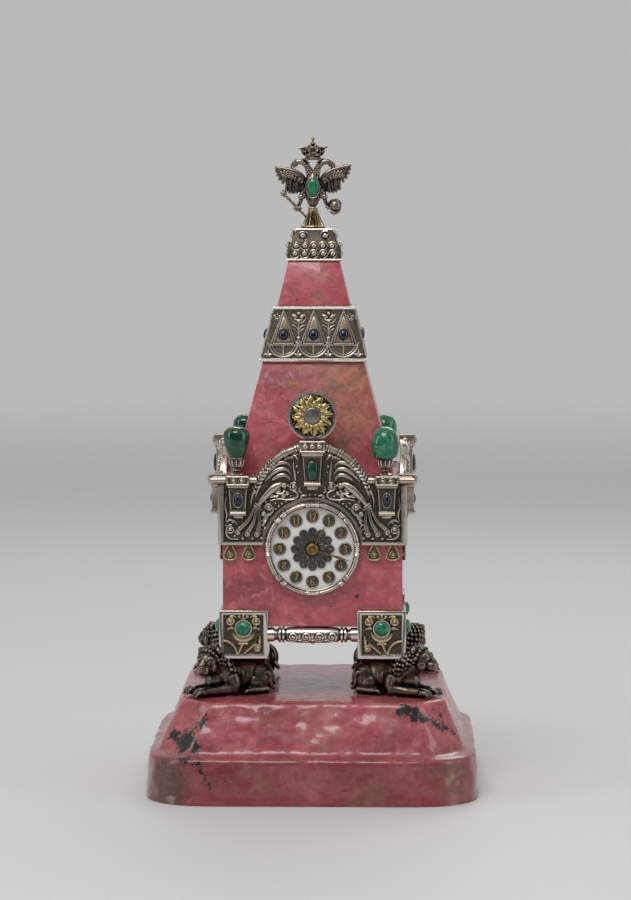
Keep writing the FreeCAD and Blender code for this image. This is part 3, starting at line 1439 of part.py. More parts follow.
def bar_through(places, half_w, y0, y1):
    shapes = [shaft(place, half_w, y0, y1) for place in places]
    for a, b in zip(places, places[1:]):
        direction = math.degrees(math.atan2(b[1] - a[1], b[0] - a[0]))
        length = math.hypot(b[0] - a[0], b[1] - a[1])
        shapes.append(rotated_bar(a, length, half_w, direction, y0, y1))
    return joined(shapes)


def balance_cock():
    feet = [(CENTRE_AT[0] + x, CENTRE_AT[1] + z) for x, z in (COCK_FOOT_A, COCK_FOOT_B)]
    places = [feet[0], BALANCE_AT, PALLET_AT, ESCAPE_AT, feet[1]]
    y0 = cock_face()
    shapes = [bar_through(places, COCK_HALF_W, y0, y0 + COCK_T)]
    shapes.extend(shaft(foot, PILLAR_R, Y_BACK_OUTER, y0) for foot in feet)
    tools = [pivot_hole(place, PIVOT_R, y0, y0 + COCK_T) for place in (BALANCE_AT, PALLET_AT, ESCAPE_AT)]
    return joined(shapes).cut(tools)


# Motion work behind the dial
def cannon_pinion():
    leaf_back = Y_FRONT_PLATE - CANNON_LEVEL
    leaf_front = leaf_back - WHEEL_T
    pipe_front = Y_MINUTE_HAND - HAND_T
    leaves = toothed(CENTRE_AT, MOTION_MODULE, CANNON_TEETH, MINUTE_DIR, leaf_front, leaf_back)
    pipe = shaft(CENTRE_AT, CANNON_PIPE_R, pipe_front, leaf_front)
    return joined([leaves, pipe]).cut(shaft(CENTRE_AT, CANNON_BORE_R, pipe_front, leaf_back))


def minute_wheel():
    back = Y_FRONT_PLATE - CANNON_LEVEL
    front = back - WHEEL_T
    pinion_front = Y_FRONT_PLATE - HOUR_LEVEL - WHEEL_T
    wheel = toothed(MINUTE_AT, MOTION_MODULE, MINUTE_TEETH, facing(MINUTE_DIR, MINUTE_TEETH), front, back)
    pinion = toothed(MINUTE_AT, MOTION_MODULE, MINUTE_PINION_TEETH, MINUTE_DIR + HALF_TURN, pinion_front, front)
    return joined([wheel, pinion]).cut(shaft(MINUTE_AT, STUD_R + FIT, pinion_front, back))


def hour_wheel():
    back = Y_FRONT_PLATE - HOUR_LEVEL
    front = back - WHEEL_T
    pipe_front = Y_HOUR_HAND - HAND_T
    wheel = toothed(CENTRE_AT, MOTION_MODULE, HOUR_TEETH, facing(MINUTE_DIR + HALF_TURN, HOUR_TEETH), front, back)
    pipe = shaft(CENTRE_AT, HOUR_PIPE_R, pipe_front, front)
    return joined([wheel, pipe]).cut(shaft(CENTRE_AT, HOUR_PIPE_BORE_R, pipe_front, back))


# Winding key
def winding_key():
    y0 = Y_BACK_OUTER + KEY_PIPE_START
    stem_end = y0 + KEY_STEM_LEN
    arbor_end = y0 + KEY_PIPE_R
    x, z = BARREL_AT
    half_t = KEY_WING_T / 2
    mid_y = stem_end + KEY_WING_LEN / 2
    shapes = [shaft(BARREL_AT, KEY_PIPE_R, y0, stem_end)]
    shapes.append(box(x - half_t, x + half_t, stem_end - KEY_PIPE_R, stem_end + KEY_WING_LEN, z - KEY_PIPE_R, z + KEY_PIPE_R))
    for side in (-1, 1):
        centre = at(x - half_t, mid_y, z + side * KEY_WING_AT)
        shapes.append(Part.makeCylinder(KEY_WING_R, KEY_WING_T, centre, ALONG_X))
    return joined(shapes).cut(shaft(BARREL_AT, BARREL_ARBOR_R, y0, arbor_end))


# Rear frame, cover and hinge
def hinge_levels():
    middle = Z_DIAL - HINGE_BELOW_DIAL
    half = HINGE_LEAF_H / 2
    low = middle - half - HINGE_GAP - HINGE_LEAF_H
    high = middle + half + HINGE_GAP
    return (low, low + HINGE_LEAF_H), (middle - half, middle + half), (high, high + HINGE_LEAF_H)


def hinge_y():
    return BODY_HALF + FRAME_DEPTH + COVER_GAP + COVER_T / 2


def rear_frame():
    y1 = BODY_HALF + FRAME_DEPTH
    ring = ring_y(BEZEL_R, FRAME_LIP_R, 0, Z_DIAL, BODY_HALF, y1)
    shapes = [ring]
    y = hinge_y()
    low, _, high = hinge_levels()
    for z0, z1 in (low, high):
        knuckle = rod_z(HINGE_KNUCKLE_R, HINGE_X, y, z0, z1)
        arm = box(HINGE_ARM_X, HINGE_X, y1 - HINGE_KNUCKLE_R, y1, z0, z1)
        shapes.extend([knuckle, arm])
    solid = joined(shapes)
    return solid.cut(rod_z(HINGE_PIN_R, HINGE_X, y, low[0], high[1]))


def rear_cover():
    y0 = BODY_HALF + FRAME_DEPTH + COVER_GAP
    y1 = y0 + COVER_T
    y = hinge_y()
    low, mid, high = hinge_levels()
    panel = rod_y(COVER_R, 0, Z_DIAL, y0, y1)
    relief = box(HINGE_X - 2 * HINGE_KNUCKLE_R, HINGE_X, y0, y1, low[0] - HINGE_GAP, high[1] + HINGE_GAP)
    arm = box(HINGE_ARM_X, HINGE_X, y0, y1, mid[0], mid[1])
    knuckle = rod_z(HINGE_KNUCKLE_R, HINGE_X, y, mid[0], mid[1])
    knob = Part.makeCone(COVER_KNOB_R, COVER_KNOB_R / 2, COVER_KNOB_H, at(COVER_KNOB_X, y1, Z_DIAL), BACK)
    solid = joined([panel.cut(relief), arm, knuckle, knob])
    return solid.cut(rod_z(HINGE_PIN_R + FIT, HINGE_X, y, mid[0], mid[1]))


def hinge_pin():
    low, _, high = hinge_levels()
    return rod_z(HINGE_PIN_R, HINGE_X, hinge_y(), low[0], high[1])


# Corner pieces for all four corners
def corner_names(stem):
    return [stem + "_front_right", stem + "_rear_right", stem + "_rear_left", stem + "_front_left"]


def at_corners(shape):
    front_right = shape
    front_left = mirrored_x(shape)
    return [front_right, front_left.rotated(ORIGIN, UP, HALF_TURN), front_right.rotated(ORIGIN, UP, HALF_TURN), front_left]


def all_nodes():
    nodes = {"plinth": plinth(), "body_block": body_block()}
    nodes.update(zip(corner_names("lion"), at_corners(lion())))
    nodes.update(zip(corner_names("corner_block"), at_corners(corner_block())))
    nodes["block_emeralds"] = on_four_sides(block_gems())
    nodes["spindle_rails"] = on_four_sides([spindle_rail()])
    plate = frieze()
    for side, name in enumerate(("front", "right", "rear", "left")):
        nodes["frieze_" + name] = turned_side(plate, side)
    nodes["frieze_drops"] = on_four_sides([frieze_drop(x) for x in DROP_XS])
    pedestal_xs = (-PEDESTAL_X, PEDESTAL_X)
    nodes["corner_pedestals"] = on_four_sides([pedestal(x) for x in pedestal_xs])
    nodes["keystones"] = on_four_sides([keystone()])
    nodes["keystone_emeralds"] = on_four_sides([keystone_gem()])
    nodes["sapphires"] = on_four_sides([pedestal_gem(x) for x in pedestal_xs] + band_gems())
    nodes["finial_cups"] = group([finial_cup(x, y) for x, y in finial_places()])
    nodes["finial_emeralds"] = group([finial_stone(x, y) for x, y in finial_places()])
    for function in (
        spire_lower, spire_upper, spire_band, spire_cap, tie_rod, bell_foot, eagle, eagle_emerald, sun_disc, sun_rays,
        bezel, dial_plate, numeral_discs, dial_rosette, hour_hand, minute_hand,
        drum_case, front_plate, back_plate, mainspring_barrel, mainspring, barrel_arbor,
        centre_wheel, third_wheel, fourth_wheel, escape_wheel, pallet_fork, balance_wheel, hairspring,
        balance_cock, cannon_pinion, minute_wheel, hour_wheel, winding_key,
        rear_frame, rear_cover, hinge_pin,
    ):
        nodes[function.__name__] = function()
    return nodes


os.makedirs("parts", exist_ok=True)
for node_name, node_shape in all_nodes().items():
    node_shape.exportStep("parts/" + node_name + ".step")
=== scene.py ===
import json
import math

import bmesh
import bpy
from mathutils import Matrix, Vector, noise

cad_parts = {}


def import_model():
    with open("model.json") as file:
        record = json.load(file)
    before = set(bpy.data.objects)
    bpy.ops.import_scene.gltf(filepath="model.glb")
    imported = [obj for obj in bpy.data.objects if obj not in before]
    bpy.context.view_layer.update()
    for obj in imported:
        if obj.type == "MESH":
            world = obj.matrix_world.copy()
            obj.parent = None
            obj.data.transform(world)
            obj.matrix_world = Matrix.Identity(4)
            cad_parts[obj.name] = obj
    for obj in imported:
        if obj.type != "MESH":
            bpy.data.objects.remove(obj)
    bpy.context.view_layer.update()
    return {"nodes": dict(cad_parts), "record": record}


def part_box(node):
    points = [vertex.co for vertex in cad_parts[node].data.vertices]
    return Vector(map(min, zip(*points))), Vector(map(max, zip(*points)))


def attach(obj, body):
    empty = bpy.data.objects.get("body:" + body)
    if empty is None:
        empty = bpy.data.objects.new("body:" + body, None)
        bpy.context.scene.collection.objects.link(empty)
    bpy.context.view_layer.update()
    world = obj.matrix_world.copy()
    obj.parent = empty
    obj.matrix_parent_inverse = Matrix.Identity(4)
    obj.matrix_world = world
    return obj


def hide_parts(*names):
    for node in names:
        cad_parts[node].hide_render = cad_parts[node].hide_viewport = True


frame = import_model()

# Some noise is drawn at random, so its seed is fixed and each run gives the same stones
noise.seed_set(7)

# All forms are drawn in millimetres, and the frame is in metres
MM = 0.001
CASE = "clock_case"
SIDES = ("front", "right", "rear", "left")
CORNERS = ("front_left", "front_right", "rear_left", "rear_right")
FULL = 2 * math.pi
QUARTER = math.pi / 2
OUT = Vector((0, -1, 0))
UP = Vector((0, 0, 1))


def at(x, y, z):
    return Vector((x, y, z))


def span(node):
    low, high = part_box(node)
    return low / MM, high / MM


def middle(node):
    low, high = span(node)
    return (low + high) / 2


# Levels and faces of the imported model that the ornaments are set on
PLINTH_TOP = span("plinth")[1].z
BODY_HALF = span("body_block")[1].x
PLATE_FACE = BODY_HALF + 1.0
DIAL_Z = middle("dial_plate").z
DIAL_FACE = -41.0
BLOCK_LOW, BLOCK_HIGH = span("corner_block_front_right")
BLOCK_MID = (BLOCK_LOW.x + BLOCK_HIGH.x) / 2
BLOCK_GEM_Z = 73.3
BLOCK_RECESS_Y = -BLOCK_HIGH.x + 0.7
ARCH_MID = 128.4
PEDESTAL_X = 32.8
PEDESTAL_FACE = -44.5
PEDESTAL_HEAD = -46.0
KEY_FACE = -44.1
KEY_HEAD = -45.4
BAND_LOW, BAND_HIGH = span("spire_band")
BAND_FACE = 23.49
BAND_LEAN = math.radians(14.19)
BAND_LENGTH = (BAND_HIGH.z - BAND_LOW.z) / math.cos(BAND_LEAN)
BAND_PITCH = 13.4


# Shapes are gathered as points and faces, and become one mesh object at the end
class Form:
    def __init__(self):
        self.points = []
        self.faces = []

    def add(self, points, faces):
        start = len(self.points)
        self.points.extend(points)
        self.faces.extend([tuple(start + i for i in face) for face in faces])

    def joined(self, other, matrix=None):
        moved = [matrix @ p for p in other.points] if matrix else other.points
        self.add(moved, other.faces)
        return self

    def mirrored(self):
        copy = Form()
        copy.add([at(-p.x, p.y, p.z) for p in self.points], [face[::-1] for face in self.faces])
        return copy


def placed(form, matrix):
    return Form().joined(form, matrix)


def turned_side(side):
    return Matrix.Rotation(QUARTER * side, 4, "Z")


def on_four_sides(form):
    whole = Form()
    for side in range(4):
        whole.joined(form, turned_side(side))
    return whole


def both_halves(half):
    return Form().joined(half).joined(half.mirrored())


# Widths along a line of relief
def steady(value):
    return lambda share: value


def taper(first, last):
    return lambda share: first + (last - first) * share


def swell(least, most):
    return lambda share: least + (most - least) * math.sin(math.pi * share)


def leaf_width(most, tip=0.06, lean=0.7):
    return lambda share: max(tip, most * math.sin(math.pi * share ** lean) ** 0.8)


def share_table(shares, scale):
    def value(share):
        for (a, va), (b, vb) in zip(shares, shares[1:]):
            if share <= b:
                return scale * (va + (vb - va) * (share - a) / (b - a))
        return scale * shares[-1][1]
    return value


# Faces of a skin over rings of points; an open one ends in two more points, one for each end
def skin(rows, sides, closed=False, ends=True):
    faces = []
    for j in range(rows if closed else rows - 1):
        a, b = j * sides, (j + 1) % rows * sides
        for k in range(sides):
            after = (k + 1) % sides
            faces.append((a + k, a + after, b + after, b + k))
    if ends and not closed:
        last = rows * sides
        for k in range(sides):
            after = (k + 1) % sides
            faces += [(last, after, k), (last + 1, last - sides + k, last - sides + after)]
    return faces


def cross_axes(axis):
    across = axis.cross(UP if abs(axis.z) < 0.8 else Vector((1, 0, 0))).normalized()
    return across, axis.cross(across)


# A closed tube along a path; "up" keeps its flat side turned one way
def tube(form, path, radius, flat=1.0, up=None, sides=8):
    if not callable(radius):
        radius = steady(radius)
    count = len(path)
    across = None
    points = []
    for i, point in enumerate(path):
        along = (path[min(i + 1, count - 1)] - path[max(i - 1, 0)]).normalized()
        if up is not None:
            across = along.cross(up).normalized()
        elif across is None:
            across = cross_axes(along)[0]
        else:
            across = (across - along * across.dot(along)).normalized()
        lift = across.cross(along).normalized()
        r = radius(i / (count - 1))
        for k in range(sides):
            angle = FULL * k / sides
            points.append(point + across * (r * math.cos(angle)) + lift * (r * flat * math.sin(angle)))
    points.append(path[0] + (path[0] - path[1]).normalized() * radius(0) * 0.7)
    points.append(path[-1] + (path[-1] - path[-2]).normalized() * radius(1) * 0.7)
    form.add(points, skin(count, sides))


# A ball or egg, with its own turn
def ball(form, centre, size, turn=None, rings=8, sides=12):
    if not hasattr(size, "__len__"):
        size = (size, size, size)
    turn = turn or Matrix.Identity(3)
    local = []
    for j in range(1, rings):
        a = math.pi * j / rings
        for k in range(sides):
            b = FULL * k / sides
            girth = math.sin(a)
            local.append(at(size[0] * girth * math.cos(b), size[1] * girth * math.sin(b), size[2] * math.cos(a)))
    local += [at(0, 0, size[2]), at(0, 0, -size[2])]
    form.add([centre + turn @ p for p in local], skin(rings - 1, sides))


# A turned form: radius and distance along an axis; flutes make the radius wave round the axis
def lathe(form, profile, origin, axis, sides=48, flutes=0, depth=0.0):
    across, other = cross_axes(axis)
    points = []
    for r, along in profile:
        for k in range(sides):
            b = FULL * k / sides
            wave = 1.0 - depth * abs(math.sin(flutes * b / 2)) if flutes else 1.0
            points.append(origin + axis * along + (across * math.cos(b) + other * math.sin(b)) * (r * wave))
    points += [origin + axis * profile[0][1], origin + axis * profile[-1][1]]
    form.add(points, skin(len(profile), sides))


# A ring of a closed section (radius and distance along the axis) turned about the axis
def hoop(form, section, origin, axis, sides=96):
    axis = axis.normalized()
    across, other = cross_axes(axis)
    points = []
    for k in range(sides):
        b = FULL * k / sides
        out = across * math.cos(b) + other * math.sin(b)
        points.extend([origin + axis * along + out * r for r, along in section])
    form.add(points, skin(sides, len(section), closed=True))


# A hoop of an oval section: its middle radius and level, and the section's half width and half height
def roll(form, origin, axis, r, along, half_w, half_h, sides=48, count=12):
    angles = [FULL * i / count for i in range(count)]
    hoop(form, [(r + half_w * math.cos(a), along + half_h * math.sin(a)) for a in angles], origin, axis, sides)


# A closed thin ring round an oval gem
def loop(form, x, z, half_w, half_h, y, thick, steps=40, sides=8):
    angles = [FULL * i / steps for i in range(steps)]
    path = [at(x + half_w * math.cos(a), y, z + half_h * math.sin(a)) for a in angles]
    points = []
    for i, point in enumerate(path):
        across = (path[(i + 1) % steps] - path[i - 1]).normalized().cross(OUT)
        for k in range(sides):
            a = FULL * k / sides
            points.append(point + across * thick * math.cos(a) + OUT * thick * math.sin(a))
    form.add(points, skin(steps, sides, closed=True))


# A thin plate with an outline in the plane of the dial side
def plate(form, outline, y, thick=0.12, behind=0.1):
    count = len(outline)
    front = [at(x, y - thick, z) for x, z in outline]
    back = [at(x, y + behind, z) for x, z in outline]
    faces = [tuple(range(count)), tuple(reversed(range(count, 2 * count)))]
    faces.extend([(i, i + count, (i + 1) % count + count, (i + 1) % count) for i in range(count)])
    form.add(front + back, faces)


# Directions in the plane of the dial side, outward and sideways at an angle
def spoke(angle, r=1.0):
    return at(r * math.cos(angle), 0, r * math.sin(angle))


def sideways(angle):
    return at(-math.sin(angle), 0, math.cos(angle))


# Paths: flat places (x, z) lie in the plane of the dial side, at depth y
def smooth(places, y=0.0, steps=6):
    ends = [places[0]] + list(places) + [places[-1]]
    path = []
    for i in range(1, len(ends) - 2):
        p0, p1, p2, p3 = (Vector(ends[i + k]) for k in (-1, 0, 1, 2))
        for s in range(steps):
            t = s / steps
            path.append(0.5 * (2 * p1 + (p2 - p0) * t + (2 * p0 - 5 * p1 + 4 * p2 - p3) * t * t
                               + (3 * p1 - p0 - 3 * p2 + p3) * t ** 3))
    path.append(Vector(places[-1]))
    return path if len(path[0]) == 3 else [at(p.x, y, p.y) for p in path]


def arc(x, z, r, start, end, y=0.0, steps=14):
    angles = [math.radians(start + (end - start) * i / steps) for i in range(steps + 1)]
    return [at(x + r * math.cos(a), y, z + r * math.sin(a)) for a in angles]


def curl(x, z, r_out, r_in, start, turns, y=0.0):
    steps = max(8, int(abs(turns) * 14))
    path = []
    for i in range(steps + 1):
        share = i / steps
        a = math.radians(start) + FULL * turns * share
        r = r_out + (r_in - r_out) * share
        path.append(at(x + r * math.cos(a), y, z + r * math.sin(a)))
    return path


# Relief: a curved line, a straight rod and a coil with a bead in it, all facing outward
def line(form, places, y, width, flat=1.0, sides=8, steps=6):
    tube(form, smooth(places, y, steps), width, flat=flat, up=OUT, sides=sides)


def rod(form, first, last, y, width):
    tube(form, [at(first[0], y, first[1]), at(last[0], y, last[1])], width, up=OUT)


def scroll(form, x, z, r, start, turns, y, thick=0.36, bead=0.62):
    tube(form, curl(x, z, r, r * 0.28, start, turns, y), taper(thick, thick * 0.7), up=OUT)
    ball(form, at(x, y - 0.05, z), (bead, bead * 0.7, bead))


# A rounded limb through places, with a radius at each
def limb(form, places, radii, flat=1.0, sides=14, up=None):
    steps = len(places) - 1

    def reach(share):
        spot = min(share * steps, steps - 1e-6)
        i = int(spot)
        return radii[i] + (radii[i + 1] - radii[i]) * (spot - i)
    tube(form, smooth([tuple(p) for p in places]), reach, flat=flat, up=up, sides=sides)


def shown(mesh, name, materials, replaces, sharp, body):
    mesh.shade_smooth()
    mesh.set_sharp_from_angle(angle=math.radians(sharp))
    for material in materials:
        mesh.materials.append(material)
    made = bpy.data.objects.new(name, mesh)
    bpy.context.scene.collection.objects.link(made)
    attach(made, body)
    if replaces:
        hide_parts(*replaces)
    return made


def finished(form, name, material, replaces=(), sharp=35.0, body=CASE):
    mesh = bpy.data.meshes.new(name)
    mesh.from_pydata([p * MM for p in form.points], [], form.faces)
    shape = bmesh.new()
    shape.from_mesh(mesh)
    bmesh.ops.recalc_face_normals(shape, faces=shape.faces)
    shape.to_mesh(mesh)
    shape.free()
    return shown(mesh, name, [material], replaces, sharp, body)


# The same form on each side of the tower
def on_sides(form, stem, material):
    for side in range(4):
        finished(placed(form, turned_side(side)), stem + "_" + SIDES[side], material)


# A CAD piece's own shape with its edges rounded over
def softened(node, name, material, width, shortest=0.0, segments=2, ground=None):
    shape = bmesh.new()
    shape.from_mesh(frame["nodes"][node].data)
    bmesh.ops.remove_doubles(shape, verts=shape.verts, dist=2e-6)
    bmesh.ops.dissolve_limit(shape, angle_limit=math.radians(0.5), verts=shape.verts, edges=shape.edges)
    edges = [
        edge for edge in shape.edges
        if edge.is_manifold and edge.calc_face_angle(0.0) > math.radians(30) and edge.calc_length() > shortest * MM
    ]
    bmesh.ops.bevel(shape, geom=edges, offset=width * MM, offset_type="OFFSET", segments=segments,
                    profile=0.5, affect="EDGES", clamp_overlap=True)
    if ground:
        shape.normal_update()
        for face in shape.faces:
            if ground(face.calc_center_median() / MM, face.normal):
                face.material_index = 1
    mesh = bpy.data.meshes.new(name)
    shape.to_mesh(mesh)
    shape.free()
    shown(mesh, name, [material, GROUND] if ground else [material], (node,), 35.0, CASE)


# Forms that were modelled in clay: joined closed shapes are fused and smoothed
def moulded(form, name, material, voxel, rounds, replaces):
    made = finished(form, name, material, replaces)
    fuse = made.modifiers.new("fuse", "REMESH")
    fuse.mode = "VOXEL"
    fuse.voxel_size = voxel * MM
    ease = made.modifiers.new("ease", "SMOOTH")
    ease.factor = 0.5
    ease.iterations = rounds
    bpy.context.view_layer.update()
    solid = bpy.data.meshes.new_from_object(made.evaluated_get(bpy.context.evaluated_depsgraph_get()))
    made.modifiers.clear()
    made.data = solid
    solid.shade_smooth()
    if not solid.materials:
        solid.materials.append(material)


# Material tools
def paint(red, green, blue):
    channels = []
    for value in (red, green, blue):
        share = value / 255
        channels.append(share / 12.92 if share <= 0.04045 else ((share + 0.055) / 1.055) ** 2.4)
    return (*channels, 1.0)


def put(tree, kind, inputs=None, **settings):
    made = tree.nodes.new(kind)
    for key, value in settings.items():
        setattr(made, key, value)
    for key, value in (inputs or {}).items():
        if isinstance(value, bpy.types.NodeSocket):
            tree.links.new(value, made.inputs[key])
        else:
            made.inputs[key].default_value = value
    return made


def new_material(name, **values):
    material = bpy.data.materials.new(name)
    material.use_nodes = True
    tree = material.node_tree
    shader = tree.nodes["Principled BSDF"]
    for key, value in values.items():
        shader.inputs[key.replace("_", " ")].default_value = value
    return material, tree, shader


def millimetres(tree):
    coords = put(tree, "ShaderNodeTexCoord").outputs["Object"]
    return put(tree, "ShaderNodeVectorMath", {0: coords, "Scale": 1 / MM}, operation="SCALE").outputs[0]


def clouds(tree, coords, scale, detail=3.0, roughness=0.5, distortion=0.0, output="Fac"):
    return put(tree, "ShaderNodeTexNoise", {
        "Vector": coords, "Scale": scale, "Detail": detail, "Roughness": roughness, "Distortion": distortion,
    }).outputs[output]


def cell_edges(tree, coords, scale):
    return put(tree, "ShaderNodeTexVoronoi", {"Vector": coords, "Scale": scale},
               feature="DISTANCE_TO_EDGE").outputs["Distance"]


def open_space(tree, reach, samples):
    return put(tree, "ShaderNodeAmbientOcclusion", {"Distance": reach * MM}, samples=samples).outputs["AO"]


def ramp(tree, value, *stops):
    made = put(tree, "ShaderNodeValToRGB", {"Fac": value})
    elements = made.color_ramp.elements
    for i, (place, colour) in enumerate(stops):
        element = elements[i] if i < 2 else elements.new(place)
        element.position = place
        element.color = colour
    return made.outputs["Color"]


def level(tree, value, low, high, to_low=0.0, to_high=1.0, **settings):
    return put(tree, "ShaderNodeMapRange", {
        "Value": value, "From Min": low, "From Max": high, "To Min": to_low, "To Max": to_high,
    }, **settings).outputs["Result"]


def maths(tree, kind, first, second):
    return put(tree, "ShaderNodeMath", {0: first, 1: second}, operation=kind).outputs[0]


def centred(tree, value, width):
    return maths(tree, "MULTIPLY", maths(tree, "SUBTRACT", value, 0.5), width)


def mixed(tree, share, first, second):
    return put(tree, "ShaderNodeMix", {0: share, 6: first, 7: second}, data_type="RGBA").outputs[2]


def dressed(tree, shader, colour, roughness, height, strength, distance):
    bump = put(tree, "ShaderNodeBump", {"Height": height, "Strength": strength, "Distance": distance * MM})
    tree.links.new(colour, shader.inputs["Base Color"])
    tree.links.new(bump.outputs["Normal"], shader.inputs["Normal"])
    if roughness:
        tree.links.new(roughness, shader.inputs["Roughness"])


# A soft patch that is 1 inside and 0 outside, by the distance from a place
def patch(tree, coords, place, inner, outer, wobble):
    apart = put(tree, "ShaderNodeVectorMath", {0: coords, 1: place}, operation="DISTANCE").outputs["Value"]
    return level(tree, maths(tree, "ADD", apart, wobble), outer, inner)


# The strongest of several soft patches, the small ones with a finer edge
def patches(tree, coords, places, ragged):
    fine_edge = maths(tree, "MULTIPLY", ragged, 0.3)
    strongest = None
    for place, inner, outer in places:
        spot = patch(tree, coords, place, inner, outer, fine_edge if outer < 3.0 else ragged)
        strongest = spot if strongest is None else maths(tree, "MAXIMUM", strongest, spot)
    return strongest


# Places of the stone's dark veins and earthy areas, each with its inner and outer reach
VEIN_PATCHES = (
    ((-56.5, -62, 26.5), 3.2, 9.0), ((-61.5, -56.5, 29), 1.8, 6.6), ((-50.5, -66, 24), 1.0, 6.2),
    ((-48.5, -62.4, 33.9), 1.2, 3.8), ((-47.5, -61.5, 36.5), 0.8, 3.2), ((-49.8, -72.8, 19), 1.0, 4.0),
    ((-55, -70.5, 20.4), 1.0, 4.4),
    *(((-49.2 + 0.62 * k + 0.4 * math.sin(1.9 * k), -73.4, 17.8 - 1.15 * k), 0.4, 2.7 - 0.1 * k) for k in range(10)),
    ((56, -56.2, 33.4), 0.8, 3.0), ((60, -53.8, 31.2), 0.7, 2.8), ((63.5, -51.8, 28.8), 0.6, 2.6),
    ((40.8, -60.1, 40.2), 2.4, 6.0), ((45.5, -60.6, 38.8), 2.0, 5.6), ((50, -60, 36.6), 1.6, 4.6),
    ((54, -57.4, 34.4), 0.9, 3.4), ((58, -55, 32.4), 0.8, 3.0), ((62, -52.6, 30.0), 0.7, 2.8),
    ((65, -51, 27.6), 0.6, 2.6), ((60.9, -60.5, 23.7), 0.4, 2.0), ((54, -55, 40), 0.5, 2.4), ((57, -53, 37), 0.5, 2.4),
    ((55, -55.5, 38.5), 0.5, 2.2),
    ((66, 40, 30), 2.0, 14.0), ((-70, 20, 16), 2.0, 12.0), ((10, 66, 34), 2.0, 15.0),
    ((-30.4, -35.3, 151), 0.2, 1.8), ((-28.4, -34.7, 153.4), 0.1, 1.1), ((25.2, -30.3, 171.5), 0.2, 1.6),
    ((-9.8, -15.1, 222.5), 0.1, 1.0), ((-8.9, -15.5, 220.7), 0.1, 0.9), ((-7.8, -16.1, 218.4), 0.1, 1.2),
    ((19.5, -40, 88), 0.1, 1.2), ((8, -40, 83), 0.1, 1.2), ((38, 22, 96), 1.0, 8.0),
    ((-34, 30, 118), 1.0, 9.0), ((-8, 30, 165), 1.0, 9.0),
)
EARTH_PATCHES = (
    ((-3, -26.2, 187.5), 2.0, 7.0), ((-8, -27.8, 181), 1.0, 6.0), ((14, -27, 184), 8.0, 20.0),
    ((17, -31, 168), 5.0, 13.0), ((13, -34, 157), 4.0, 11.0), ((4, -13.6, 228), 0.5, 5.0),
    ((2, -16, 219), 1.0, 6.0), ((-27, -73.7, 16), 0.5, 5.0), ((-22, -73.7, 10), 0.5, 5.0), ((24, -73.7, 2), 3.0, 14.0),
    ((62, -70, 12), 3.0, 12.0), ((-20, 34, 96), 4.0, 18.0), ((30, 20, 160), 6.0, 18.0), ((73, -10, 10), 5.0, 18.0),
    ((-60, 50, 30), 5.0, 18.0),
)
UMBER_CORNER = ((-66, -69, 8), 10.0, 17.0)


